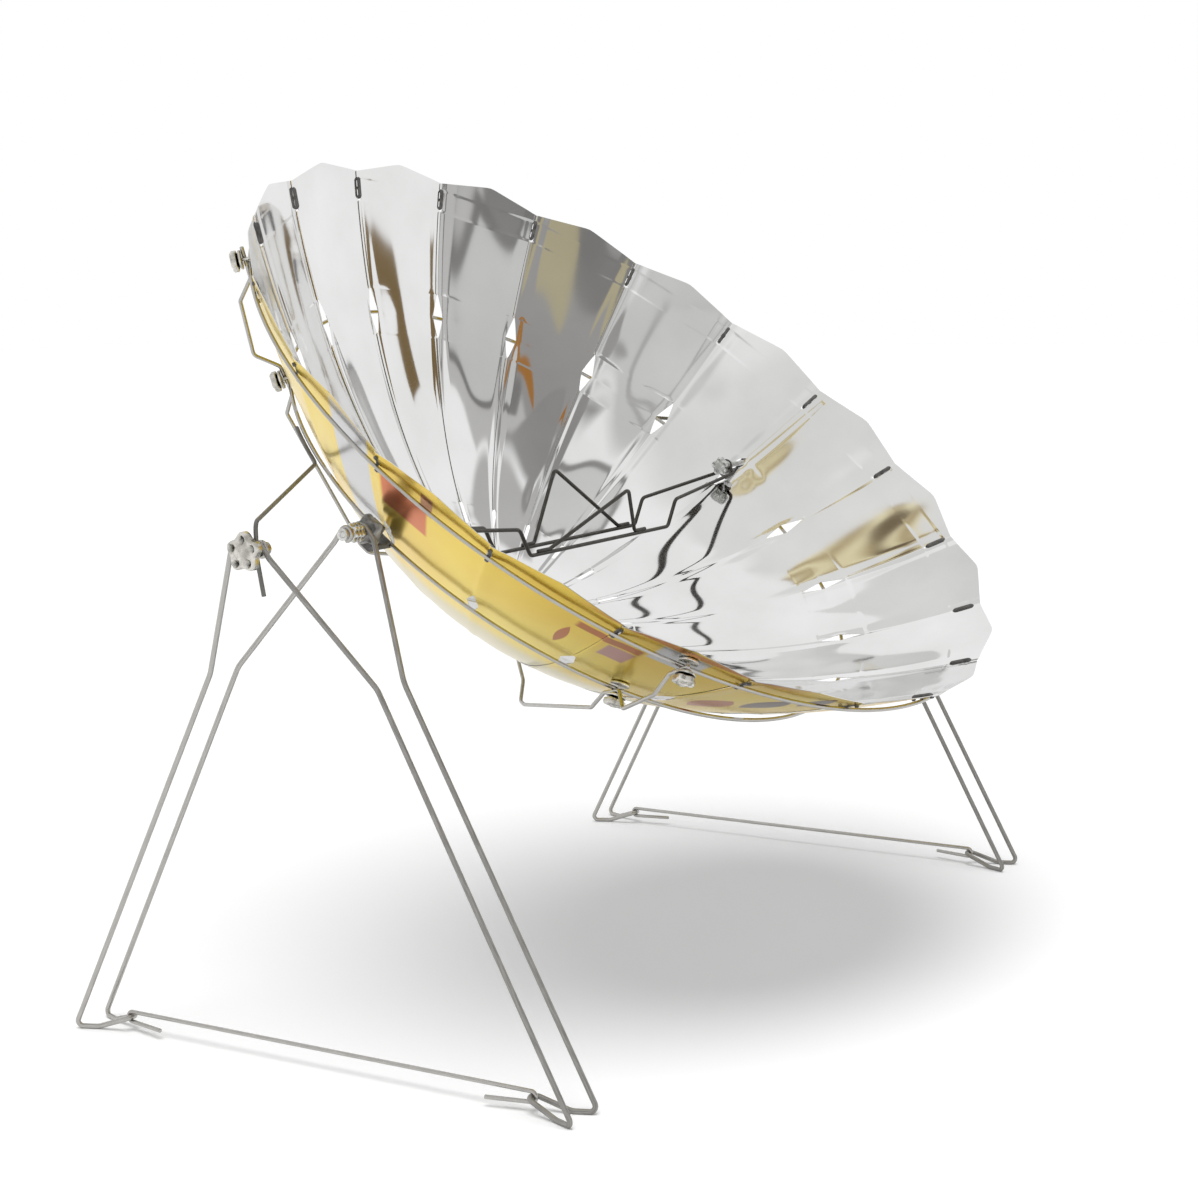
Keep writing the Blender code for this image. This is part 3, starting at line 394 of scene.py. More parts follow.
# Vacuum-coated aluminium sheet: a near perfect mirror with clouds of 110 mm.
silverLook = {"metallic": 1.0, "coordinates": "Object", "stretch": (1.0, 1.0, 1.0),
              "patch": 9.0, "detail": 4.0, "blend": (0.3, 0.7), "dark": "#e2e2e1",
              "light": "#eeeeee", "spread": (0.0, 1.0), "smooth": 0.03, "rough": 0.09}
silver = makeFinish("silver_mirror_film", silverLook)

# The back of the sheet: gold lacquer over the same mirror, greyer inside the mid ring, with
# clouds of 140 mm. Its brown, orange, grey and dark patches are painted reflections of the
# surroundings. Patches lie on the sheet, in degrees above the tilt axis and millimetres of
# radius.
goldLook = {**silverLook, "metallic": 0.94, "patch": 7.0, "detail": 3.0, "dark": "#deb93c",
            "light": "#e8d052", "smooth": 0.18, "rough": 0.30, "paintedReflections": [
                (-46.0, 433, 17.0, 4.0, "#b5652c", {"edge": 0.4, "strength": 0.8}),
                (0.0, 120, 200.0, 172, "#c2bea8", {"edge": 0.14, "strength": 0.75}),
                (6.0, 374, 4.2, 64, "#c4c4c4"),
                (-4.4, 396, 4.2, 19, "#c8682c"),
                (-8.2, 419, 1.0, 11, "#a5703f"),
                (-36.5, 402, 5.0, 5, "#b0682c"),
                (-39.0, 384, 2.2, 12, "#b98a80"),
                (-31.5, 372, 0.8, 20, "#b0682c", {"shape": "leaf"}),
                (-45.0, 416, 3.5, 14, "#c4c4c4"),
                (-60.0, 350, 3.0, 26, "#b5652c", {"shape": "leaf"}),
                (-64.2, 384, 2.2, 26, "#5a4331", {"shape": "leaf"}),
                (-67.4, 414, 1.6, 18, "#5a4331", {"shape": "leaf"})]}
gold = makeFinish("gold_lacquered_film", goldLook)
print("materials made")


# The dish is r^2 / 4f deep; its petals are straight across, and its axis is tilted.
dish = {"petals": 20, "focalLength": 0.178, "rimRadius": 0.430, "cornerReach": 0.004,
        "innerRadius": 0.022, "sheet": 0.0005, "axisOverVertex": 0.162, "tilt": 37.5,
        "lapGap": 0.0005, "lapRoot": 0.0008, "lapGrowth": 0.0035}
pivot = Vector(joints["dish_tilt"]["pos_m"])
halfPetal = math.pi / dish["petals"]
lapOffset = (dish["sheet"] + dish["lapGap"]) / 2
stackHalf = lapOffset + dish["sheet"] / 2
dishPlace = Matrix.Translation(pivot) @ Matrix.Rotation(math.radians(dish["tilt"]), 4, "X")


def surfaceHeight(radius):
    return radius ** 2 / (4 * dish["focalLength"]) - dish["axisOverVertex"]


# A point on the dish at a radius and an angle from +X, moved out square to the surface.
def dishPoint(radius, angle, out=0.0):
    slope = radius / (2 * dish["focalLength"])
    length = math.hypot(1.0, slope)
    reach = radius + out * slope / length
    height = surfaceHeight(radius) - out / length
    return Vector((reach * math.cos(angle), reach * math.sin(angle), height))


# Frame on the dish: local Z points out of the dish, X along the rim.
def dishFrame(radius, angle, out):
    slope = radius / (2 * dish["focalLength"])
    outward = Vector((slope * math.cos(angle), slope * math.sin(angle), -1.0)).normalized()
    along = Vector((-math.sin(angle), math.cos(angle), 0.0))
    turn = Matrix((along, outward.cross(along), outward)).transposed().to_4x4()
    turn.translation = dishPoint(radius, angle, out)
    return turn


# Slots and windows are (middle radius, length, width); their ends and sides are powers that
# give their outlines. Eases are (start, length): the lap's runs across the petal, as a share of
# it, and those of the bulge and the wave run along it.
petal = {"columns": 41, "rows": 90, "slotRows": 17, "rimRows": 6, "slotEnd": 6,
         "windowSide": 0.85, "innerSlot": (0.131, 0.026, 0.004),
         "window": (0.326, 0.0376, 0.014), "rimSlot": (0.4175, 0.017, 0.005),
         "boltHole": 0.0054, "rimBand": 0.4265, "pointRound": 0.003, "lapEase": (0.72, 0.2),
         "bulge": 0.0018, "bulgeEase": (0.06, 0.2), "wave": 0.0007, "waveEase": (0.17, 0.15),
         "waveLength": 0.19, "waveShift": 2.4}


# Radii of the rows, closer together at the slots and the windows.
def petalRadii():
    spots = [np.linspace(dish["innerRadius"], petal["rimBand"], petal["rows"])]
    for middle, length, _ in (petal["innerSlot"], petal["window"], petal["rimSlot"]):
        reach = length / 2
        spots.append(middle + np.linspace(-reach, reach, petal["slotRows"]))
        spots.append(np.array([middle - reach - gap, middle + reach + gap]))
    spots.append(np.linspace(petal["rimBand"], dish["rimRadius"], petal["rimRows"]))
    return np.unique(np.round(np.concatenate(spots), 6))


# How far the edge lies past the seam: a lap that grows with the radius, or a cut-back inside
# a slot. Slots have straight sides and round ends, and the windows are diamonds.
def edgeReach(radius, boltSide):
    reach = dish["lapRoot"] + dish["lapGrowth"] * radius
    for middle, length, width in (petal["innerSlot"], petal["rimSlot"]):
        share = np.abs(radius - middle) / (length / 2)
        cut = width / 2 * np.sqrt(np.clip(1 - share ** petal["slotEnd"], 0, 1))
        reach = np.where(share < 1, -cut, reach)
    middle, length, width = petal["window"]
    share = np.clip(1 - np.abs(radius - middle) / (length / 2), 0, 1)
    reach = np.where(share > 0, -width / 2 * share ** petal["windowSide"], reach)
    if boltSide:
        hole = np.sqrt(np.clip(petal["boltHole"] ** 2 - surfaceHeight(radius) ** 2, 0, None))
        reach = np.where(hole > 0, np.minimum(reach, -hole), reach)
    return reach


# Runs from 0 to 1 over a span of (start, length).
def eased(value, span):
    return np.clip((value - span[0]) / span[1], 0, 1)


# A petal along +X. Across it s runs from -1 to 1 between its edges; a point at radius r lies
# at x = r cos(half petal), y = s * (r sin(half petal) + edge), z = r^2 / 4f. It is then
# pushed out square to the sheet by the lap, by a slight bulge and, in its outer half, by a
# long shallow wave. The rim rises to a blunt point at s = 0. The petal's UV is the angle above
# the tilt axis in degrees, the same on both sides of the dish, and the radius in millimetres.
def petalGrid(index):
    radius = petalRadii()[:, None]
    s = np.sin(np.linspace(-math.pi / 2, math.pi / 2, petal["columns"]))[None, :]
    boltLow = index in (0, dish["petals"] // 2)
    boltHigh = index in (dish["petals"] // 2 - 1, dish["petals"] - 1)
    edge = np.where(s < 0, edgeReach(radius, boltLow), edgeReach(radius, boltHigh))
    half = radius * math.sin(halfPetal)
    y = s * (half + edge)
    corner = dish["rimRadius"] * (1 - math.cos(halfPetal)) + dish["cornerReach"]
    blunt = petal["pointRound"]
    peak = corner / math.cos(halfPetal) * (1 - np.sqrt((s * s + blunt) / (1 + blunt)))
    band = np.clip((radius - petal["rimBand"]) / (dish["rimRadius"] - petal["rimBand"]), 0, 1)
    radius = radius + band * peak
    slope = radius / (2 * dish["focalLength"])
    length = np.hypot(1.0, slope)
    past = np.maximum(np.abs(y) - half, 0.0)
    ramp = eased(np.abs(y) / half, petal["lapEase"])
    lap = -np.sign(s) * lapOffset * ramp * ramp * (3 - 2 * ramp)
    free = (1 - s * s) ** 2
    bulge = petal["bulge"] * eased(radius, petal["bulgeEase"])
    wave = petal["wave"] * eased(radius, petal["waveEase"])
    swing = 2 * math.pi * radius / petal["waveLength"] + petal["waveShift"] * index
    out = lap + free * (bulge + wave * np.sin(swing))
    x = radius * math.cos(halfPetal) - past * math.tan(2 * halfPetal) + out * slope / length
    z = surfaceHeight(radius) - out / length
    normal = np.stack(np.broadcast_arrays(slope / length, 0.0 * y, -1.0 / length), -1)
    middle = np.stack(np.broadcast_arrays(x, y, z), -1)
    angle = (2 * index + 1) * halfPetal + np.arctan2(y, x)
    rise = np.degrees(np.arctan2(np.sin(angle), np.abs(np.cos(angle))))
    uv = np.stack(np.broadcast_arrays(rise, radius * 1000), -1)
    return middle, normal, uv


# The sheet as one closed skin: the inner face, then back along the outer face, so that each
# row goes once round the sheet, and the two end rows are closed by a strip of quads.
def makePetal(index):
    middle, normal, uv = petalGrid(index)
    inner = middle - normal * dish["sheet"] / 2
    outer = middle + normal * dish["sheet"] / 2
    loop = np.concatenate([inner, outer[:, ::-1]], axis=1)
    loopUv = np.concatenate([uv, uv[:, ::-1]], axis=1)
    shell = gridShell(loop, loopUv)
    rows, columns = middle.shape[:2]
    around = 2 * columns
    column = np.arange(around)
    backs = np.tile((column >= columns) & (column < around - 1), rows - 1)
    ends = []
    for row in (0, rows - 1):
        for i in range(columns - 1):
            a, b = row * around + i, row * around + around - 1 - i
            ends.append([a, a + 1, b - 1, b])
    shell["faces"] += ends
    faceMaterial = np.concatenate([backs, np.zeros(len(ends), bool)]).astype(np.int32)
    place = dishPlace @ Matrix.Rotation((2 * index + 1) * halfPetal, 4, "Z")
    name = f"petal_{index + 1:02d}"
    return makePiece(name + "_film", moveShell(shell, place), (silver, gold), "dish", (name,),
                     faceMaterial, sharp=30)


# The petals throw no gold light on the floor, so that their shadow stays grey.
for index in range(dish["petals"]):
    makePetal(index).visible_diffuse = False
print("petals made")


ringWire = {"radius": 0.002, "steps": 320, "midStandoff": 0.0055}
rimRing = petal["rimSlot"][0] + ringWire["radius"] / 2
midRing = petal["window"][0]
rimStandoff = stackHalf + gap + ringWire["radius"]
for name, radius, out in (("rim_ring", rimRing, rimStandoff),
                          ("mid_ring", midRing, ringWire["midStandoff"])):
    turns = np.linspace(0, 2 * math.pi, ringWire["steps"], endpoint=False)
    path = [dishPlace @ dishPoint(radius, angle, out) for angle in turns]
    shell = tubeShell(path, ringWire["radius"], closed=True)
    makePiece(name + "_wire", shell, (steel,), "dish", (name,))


# A staple is a U of coated wire lying in the slot at each seam; its prongs grip the rim ring
# from both sides.
staple = {"wire": 0.0021, "halfLength": 0.0064, "inside": -0.0013, "outside": 0.0027,
          "bend": 0.0024}
for index in range(dish["petals"]):
    angle = 2 * index * halfPetal
    low, high = rimRing - staple["halfLength"], rimRing + staple["halfLength"]
    spots = [(high, staple["outside"]), (high, staple["inside"]), (low, staple["inside"]),
             (low, staple["outside"])]
    spots = [dishPlace @ dishPoint(radius, angle, out) for radius, out in spots]
    shell = tubeShell(rounded(spots, [staple["bend"]] * 2, steps=6), staple["wire"], sides=10)
    makePiece(f"staple_{index + 1:02d}", shell, (nylon,), "dish")
print("rings and staples made")


# The hub's screw and nut follow the petals. A station is (radius on the dish, height over the
# sheet there, the piece's own radius).
hub = {"flange": 0.042, "shank": 0.008, "plate": 0.003, "dome": 0.002, "crown": 0.0128,
       "drive": 0.0042, "driveTop": 0.0052, "driveDepth": 0.0012, "proud": 0.010,
       "boss": 0.017, "nutHeight": 0.005}
seat = stackHalf + gap
top = seat + hub["plate"]


def makeHubPiece(name, part, stations, material):
    profile = [(surfaceHeight(at) + over, radius) for at, over, radius in stations]
    shell = moveShell(turnedShell(softStations(profile), sides=64), dishPlace)
    makePiece(name + part, shell, (material,), "dish", (name,))


root, flange, shank, boss = dish["innerRadius"], hub["flange"], hub["shank"], hub["boss"]
bore, recess = shank + gap, top - hub["driveDepth"]
shankEnd, bossEnd = -top - hub["proud"], -top - hub["nutHeight"]
makeHubPiece("hub_screw", "_head", [
    (0.0, recess, 0.0), (0.0, recess, hub["drive"]), (0.0, top + hub["dome"], hub["driveTop"]),
    (0.0, top + hub["dome"], hub["crown"]), (root, top, root), (flange, top, flange),
    (flange, seat, flange), (root, seat, root), (shank, seat, shank), (0.0, shankEnd, shank),
    (0.0, shankEnd, 0.0)], silver)
makeHubPiece("hub_nut", "_plate", [
    (bore, -seat, bore), (root, -seat, root), (flange, -seat, flange), (flange, -top, flange),
    (boss, -top, boss), (0.0, bossEnd, boss), (0.0, bossEnd, bore), (bore, -seat, bore)],
    cast)


# A grip's profile, from its seat to its crown. The columns are shares of its height, of its
# radius, of the depth of its lobes and of the depth of its pockets.
clampProfile = [(0.0, 0.0, 0.0, 0.0), (0.0, 0.6, 0.0, 0.0), (0.15, 0.66, 0.0, 0.0),
                (0.3, 1.0, 1.0, 0.0), (0.85, 1.0, 1.0, 0.0), (1.0, 0.86, 0.9, 0.0),
                (1.0, 0.66, 0.5, 1.0), (1.0, 0.42, 0.0, 0.0), (0.82, 0.34, 0.0, 0.0),
                (0.82, 0.0, 0.0, 0.0)]
starProfile = [(0.0, 0.62, 0.0, 0.0), (0.12, 0.7, 0.0, 0.0), (0.28, 1.0, 1.0, 0.0),
               (0.74, 1.0, 1.0, 0.0), (0.92, 0.88, 0.9, 0.0), (0.92, 0.66, 0.4, 1.0),
               (0.94, 0.42, 0.0, 0.3), (1.0, 0.36, 0.0, 0.0)]


def gripStations(profile, start, height, radius, lobe, pocket):
    return [(start + height * h, radius * r, lobe * l, pocket * p) for h, r, l, p in profile]


# Braces and clamps stand over the two rings: ring, then brace wire, then the clamp's plates.
brace = {"angles": (45.0, 135.0, 225.0, 315.0), "standoff": 0.030, "drop": 0.039,
         "pastRing": 0.010, "shoulder": 0.012, "knee": 0.014, "slope": 0.8, "lastSlope": 0.7,
         "root": 0.55,
         "bends": (0.006, 0.006, 0.008, 0.006, 0.006, 0.006, 0.010, 0.010, 0.010, 0.010)}
clamp = {"plate": 0.0095, "depth": 0.0023, "knob": 0.011, "knobHeight": 0.008, "screw": 0.0015,
         "lobe": 0.0026, "pocket": 0.0018}


def clampLevels(standoff):
    over = standoff + 2 * ringWire["radius"] + gap
    outer = over + ringWire["radius"] + gap + clamp["depth"] / 2
    inner = standoff - ringWire["radius"] - 3 * gap - clamp["depth"] / 2
    return over, inner, outer


def makeBrace(index, degrees):
    past, knee = brace["shoulder"], brace["shoulder"] + brace["knee"]
    standoff, drop = brace["standoff"], brace["drop"]
    rimLevel, midLevel = clampLevels(rimStandoff)[0], clampLevels(ringWire["midStandoff"])[0]
    hubLevel = stackHalf + hub["plate"] + 2 * gap + ringWire["radius"]
    spots = [
        (rimRing + brace["pastRing"], rimLevel), (rimRing - past, rimLevel),
        (rimRing - knee, brace["slope"] * standoff), (midRing + knee, standoff),
        (midRing + past, midLevel), (midRing - past, midLevel),
        (midRing - knee, brace["slope"] * standoff), (midRing / 2, drop),
        (midRing / 2 - past, drop), (midRing / 2 - 2 * brace["knee"],
                                     brace["lastSlope"] * standoff),
        (hub["flange"] + brace["knee"], hubLevel), (hub["flange"] * brace["root"], hubLevel),
    ]
    path = [dishPlace @ dishPoint(r, math.radians(degrees), out) for r, out in spots]
    shell = tubeShell(rounded(path, brace["bends"]), ringWire["radius"])
    makePiece(f"brace_{index}_wire", shell, (steel,), "dish", (f"brace_{index}",))


def makeClamp(kind, index, degrees, radius, standoff):
    inner, outer = clampLevels(standoff)[1:]
    half, rise = clamp["depth"] / 2, outer - inner
    top, plate, screw = rise + half, clamp["plate"], clamp["screw"]
    plates = softStations([(-half, 0.0), (-half, plate), (half, plate), (half, screw),
                           (rise - half, screw), (rise - half, plate), (top, plate),
                           (top, 0.0)])
    grip = softStations(gripStations(clampProfile, top, clamp["knobHeight"], clamp["knob"],
                                     clamp["lobe"], clamp["pocket"]))
    shift = ringWire["radius"] + clamp["screw"] + 3 * gap
    place = dishPlace @ dishFrame(radius, math.radians(degrees), inner)
    place = place @ Matrix.Translation(Vector((shift, shift, 0.0)))
    shell = joinShells([turnedShell(plates, sides=40), turnedShell(grip, sides=60)])
    name = f"{kind}_{index}"
    makePiece(name + "_knob", moveShell(shell, place), (zinc,), "dish", (name,))


for index, degrees in enumerate(brace["angles"], 1):
    makeBrace(index, degrees)
    makeClamp("rim_clamp", index, degrees, rimRing, rimStandoff)
    makeClamp("mid_clamp", index, degrees, midRing, ringWire["midStandoff"])
print("hub, braces and clamps made")


# The pivots' sizes. Distances run along the tilt axis from the middle of the dish, as the
# solids have them.
pivotSizes = {"bolt": 0.003, "flange": 0.0058, "flangeDepth": 0.003, "flangeToWall": 0.028,
              "socket": 0.0026, "socketTop": 0.0034, "socketDepth": 0.001, "offWall": 0.016,
              "saddlePlate": 0.006, "saddleWidth": 0.016, "saddleTop": 0.0075,
              "saddleKnee": 0.0146, "spacer": 0.0095, "spacerDepth": 0.018, "neck": 0.0058,
              "outerStack": 0.5125, "outerHead": 0.004, "washer": 0.002, "washerReach": 0.030}
knobs = {"hub": {"radius": 0.015, "depth": 0.013, "lobe": 0.0038, "pocket": 0.0016},
         "outer": {"radius": 0.018, "depth": 0.013, "lobe": 0.0040, "pocket": 0.0042},
         "cradle": {"radius": 0.011, "depth": 0.012, "lobe": 0.0028, "pocket": 0.0016}}
legWire, cradleWire = 0.0025, 0.002


def pivotStack():
    sizes, stack = pivotSizes, {}
    wall = math.sqrt(4 * dish["focalLength"] * dish["axisOverVertex"])
    stack["saddle"] = wall + sizes["offWall"]
    stack["knob"] = stack["saddle"] + sizes["saddlePlate"] + gap
    stack["frontEye"] = stack["knob"] + knobs["hub"]["depth"] + gap + legWire
    stack["spacer"] = stack["frontEye"] + legWire + gap
    stack["rearEye"] = stack["spacer"] + sizes["spacerDepth"] + gap + legWire
    stack["head"] = stack["rearEye"] + legWire + gap
    stack["flange"] = wall - sizes["flangeToWall"]
    stack["firstEye"] = stack["flange"] - sizes["flangeDepth"] - gap - cradleWire
    stack["secondEye"] = stack["firstEye"] - 2 * cradleWire - gap
    stack["cradleKnob"] = stack["secondEye"] - cradleWire - gap
    stack["outerRear"] = sizes["outerStack"] + sizes["outerHead"] + gap + legWire
    stack["outerFront"] = stack["outerRear"] + 2 * legWire + gap
    stack["washer"] = stack["outerFront"] + legWire + gap
    stack["crank"] = stack["washer"] + sizes["washer"] + gap + ringWire["radius"]
    stack["outerKnob"] = stack["crank"] + ringWire["radius"] + gap
    return stack


stack = pivotStack()


# Turns local Z onto +X or -X, with the origin on the tilt axis at distance x.
def alongX(x, side):
    return Matrix.Translation(pivot + Vector((side * x, 0, 0))) @ Matrix.Rotation(
        side * math.pi / 2, 4, "Y")


# A bolt's shank has its thread as fine grooves, drawn at twice the real pitch so they show.
thread = {"step": 0.0005, "depth": 0.00025, "every": 4}


def threadStations(start, end, radius):
    heights = np.arange(start, end, math.copysign(thread["step"], end - start))
    return [(height, radius - thread["depth"] * (i % thread["every"] == thread["every"] // 2))
            for i, height in enumerate(heights)]


# The inner bolt's spacer collar is a rough casting: three rows of rounded lumps. Stations are
# (share of the collar's depth, share of its radius, depth of the lobes), and those of a lump
# start from its row.
collar = {"rows": (0.26, 0.52, 0.78), "lobes": 7, "inset": 0.0005, "soft": 0.001,
          "shoulder": (0.12, 0.86, 0.0012),
          "lump": [(-0.06, 1.0, 0.0026), (0.06, 1.0, 0.0026), (0.13, 0.84, 0.001)]}


def makeBolts(side, word):
    sizes = pivotSizes
    bolt, wide = sizes["bolt"], sizes["flange"]
    socket, socketTop, socketDepth = sizes["socket"], sizes["socketTop"], sizes["socketDepth"]
    head, flange = stack["head"], stack["flange"]
    tip, back = head + sizes["flangeDepth"], flange - sizes["flangeDepth"]
    end = stack["cradleKnob"] - knobs["cradle"]["depth"] / 2
    inner = [(tip - socketDepth, 0.0), (tip - socketDepth, socket), (tip, socketTop),
             (tip, wide), (head, wide), (head, bolt),
             *threadStations(head - thread["step"], flange + thread["step"], bolt),
             (flange, bolt), (flange, wide), (back, wide), (back, bolt), (end, bolt),
             (end, 0.0)]
    far, base = stack["outerKnob"] + knobs["outer"]["depth"] / 2, sizes["outerStack"]
    shoulder = base + sizes["outerHead"]
    outer = [(far, 0.0), (far, bolt), (shoulder, bolt), (shoulder, wide), (base, wide),
             (base, socketTop), (base + socketDepth, socket), (base + socketDepth, 0.0)]
    start, deep, radius = stack["spacer"], sizes["spacerDepth"], sizes["spacer"]
    near, far, neck = start + collar["inset"], start + deep - collar["inset"], sizes["neck"]
    lumps = [collar["shoulder"]] + [(row + step, share, lobe) for row in collar["rows"]
                                    for step, share, lobe in collar["lump"]]
    lumps = [(start + step * deep, share * radius, lobe) for step, share, lobe in lumps]
    casting = softStations([(near, bolt), (near, neck), *lumps, (far, neck), (far, bolt)],
                           collar["soft"])
    place = alongX(0.0, side)
    shells = [turnedShell(inner, sides=36),
              turnedShell(casting, sides=72, lobes=collar["lobes"])]
    makePiece(f"inner_bolt_{word}_turned", moveShell(joinShells(shells), place), (cast,),
              "dish", (f"inner_bolt_{word}",), sharp=30)
    makePiece(f"outer_bolt_{word}_turned", moveShell(turnedShell(outer, sides=36), place),
              (steel,), "dish", (f"outer_bolt_{word}",), sharp=30)


gripEdge = 0.05  # how far a grip's edges are rounded, as a share of its radius


# A star grip has five lobes round a bore, a raised boss and pockets between the lobes. The hub
# knob is open at both ends; the others are closed over the bolt's end.
def starGrip(kind):
    knob, through = knobs[kind], kind == "hub"
    bore, depth, radius = pivotSizes["bolt"] + gap, knob["depth"], knob["radius"]
    back = depth if through else depth / 2 + gap
    middle = gripStations(starProfile, 0.0, depth, radius, knob["lobe"], knob["pocket"])
    crown = (depth, bore if through else 0.0)
    grip = softStations([(back, bore), (0.0, bore), *middle, crown], radius * gripEdge)
    return grip if through else [(back, 0.0), *grip]


def makeKnobs(side, word):
    inward = Matrix.Translation(pivot + Vector((side * stack["cradleKnob"], 0, 0)))
    inward = inward @ Matrix.Rotation(-side * math.pi / 2, 4, "Y")
    for kind, place, material, slot in (
            ("hub", alongX(stack["knob"], side), rubbed, "dark_knob"),
            ("outer", alongX(stack["outerKnob"], side), zinc, "bright_knob"),
            ("cradle", inward, cast, "bright_knob")):
        node = f"{kind}_knob_{word}"
        shell = moveShell(turnedShell(starGrip(kind), sides=80), place)
        makePiece(node + "_grip", shell, (material,), node, (node,))


# The saddle's side view: a claw round the mid ring, a foot and a plate on the bolt behind the
# hub knob. It is moulded, so all its edges are soft. The groove's arc is in degrees, and heel,
# tooth and mouth are shares of the claw.
saddle = {"claw": 0.0052, "sole": 0.0048, "lip": 0.004, "soft": 0.0009, "corner": 0.0012,
          "groove": (150, 400, 13), "heel": 1.4, "tooth": 0.65, "mouth": 0.35}


def makeSaddle(side, word):
    sizes = pivotSizes
    ring = dishPoint(midRing, 0.0, ringWire["midStandoff"])
    near, far = stack["saddle"], stack["saddle"] + sizes["saddlePlate"]
    high, knee = sizes["saddleTop"], -sizes["saddleKnee"]
    sole, lip, claw = ring.z - saddle["sole"], ring.z + saddle["lip"], saddle["claw"]
    reach = ringWire["radius"] + gap
    angles = np.radians(np.linspace(*saddle["groove"]))[::-1]
    groove = [(ring.x + reach * math.cos(a), ring.z + reach * math.sin(a)) for a in angles]
    corners = [(ring.x - claw, sole), (far, sole), (far, high), (near, high), (near, knee),
               (ring.x + saddle["heel"] * claw, knee), (ring.x + claw, lip),
               (ring.x + saddle["tooth"] * claw, lip)]
    outline = roundedFlat(corners, saddle["corner"], steps=4)
    outline += groove + [(ring.x - claw, ring.z - saddle["mouth"] * claw)]
    body = plateShell(outline, sizes["saddleWidth"], saddle["soft"])
    mirror = Matrix.Scale(side, 4, (1, 0, 0))
    turn = dishPlace @ mirror @ Matrix.Rotation(math.pi / 2, 4, "X")
    makePiece(f"saddle_{word}_moulding", moveShell(body, turn), (nylon,), "dish",
              (f"saddle_{word}",), sharp=35)


# Turns a piece set on the tilt axis with the dish's own tilt.
def dishTurn(place):
    spin = Matrix.Rotation(math.radians(dish["tilt"]), 4, "X")
    return Matrix.Translation(pivot) @ spin @ Matrix.Translation(-pivot) @ place


# The winged washer: two round ears on a waist that carries the bolt. The waist is in radii of
# the bolt's flange, and the ears start at a share of the washer's half reach.
washer = {"waist": 1.2, "ear": 0.4, "corner": 0.003, "soft": 0.0004}


def makeWasher(side, word):
    sizes = pivotSizes
    wide, narrow = sizes["washerReach"] / 2, sizes["flange"] * washer["waist"]
    low = -wide * washer["ear"]
    wing = [(narrow, low), (wide * 0.5, wide), (-wide * 0.5, wide), (-narrow, low),
            (-narrow * 0.5, -narrow), (narrow * 0.5, -narrow)]
    start = ((wing[-1][0] + wing[0][0]) / 2, (wing[-1][1] + wing[0][1]) / 2)
    outline = roundedFlat([start, *wing, start], washer["corner"], steps=6)[:-1]
    shell = plateShell(outline, sizes["washer"], washer["soft"])
    place = alongX(stack["washer"] + sizes["washer"] / 2, side)
    makePiece(f"wing_washer_{word}_plate", moveShell(shell, dishTurn(place)), (cast,), "dish",
              (f"wing_washer_{word}",), sharp=35)


# The crank wire lies on the mid ring, at steps in degrees from its end, runs out to the outer
# bolt, down past it and kicks forwards.
crank = {"top": 0.025, "tail": 0.039, "knee": 0.006, "kick": 0.006, "angle": 20.0,
         "steps": (10.0, 7.5, 5.0, 2.5, 0.0), "bends": (0.0, 0.0, 0.0, 0.020, 0.008, 0.015)}


def makeCrank(side, word):
    beside = -(pivotSizes["bolt"] + gap + ringWire["radius"])
    out = ringWire["midStandoff"] + 2 * ringWire["radius"] + 3 * gap
    path = []
    for step in crank["steps"]:
        spot = dishPoint(midRing, math.radians(crank["angle"] + step), out)
        path.append(dishPlace @ Vector((side * spot.x, spot.y, spot.z)))
    for kick, rise in ((0.0, crank["top"]), (0.0, -crank["knee"]),
                       (crank["kick"], -crank["tail"])):
        path.append(pivot + Vector((side * stack["crank"], beside - kick, rise)))
    shell = tubeShell(rounded(path, crank["bends"]), ringWire["radius"])
    makePiece(f"crank_{word}_wire", shell, (darkSteel,), "dish", (f"crank_{word}",))


for side, word in ((-1, "left"), (1, "right")):
    makeBolts(side, word)
    makeKnobs(side, word)
    makeSaddle(side, word)
    makeWasher(side, word)
    makeCrank(side, word)
print("pivots made")


# The stands. Reach runs along Y from under the tilt axis, outer and inner run along X, and
# height is over the floor. A hook's runs are in radii of its loop, and its sweep is in degrees.
stand = {"bendHeight": 0.360, "bendReach": 0.094, "bendOuter": 0.486, "bendInner": 0.448,
         "footReach": 0.284, "footOuter": 0.488, "footInner": 0.447, "sink": 0.0002,
         "tipReach": 0.229, "tipHeight": 0.0135, "footFlat": 0.022, "linkWire": 0.002,
         "linkTail": 0.043, "hookSweep": 235.0, "hookRun": 2.4, "rearHookRun": 5.6,
         "rearHookFall": 0.15, "tipBend": 1.6, "splay": 0.2,
         "bends": (0.010, 0.030, 0.005, 0.020)}


# An arc round a bar along X that ends where the wire leaves along a heading.
def hookPath(centre, radius, heading, side, count=28):
    sweep = math.radians(stand["hookSweep"])
    square = Vector((0.0, -heading.z, heading.y)) * side
    backs = [sweep * (1 - step / count) for step in range(count + 1)]
    return [centre + radius * (square * math.cos(b) - heading * math.sin(b)) for b in backs]


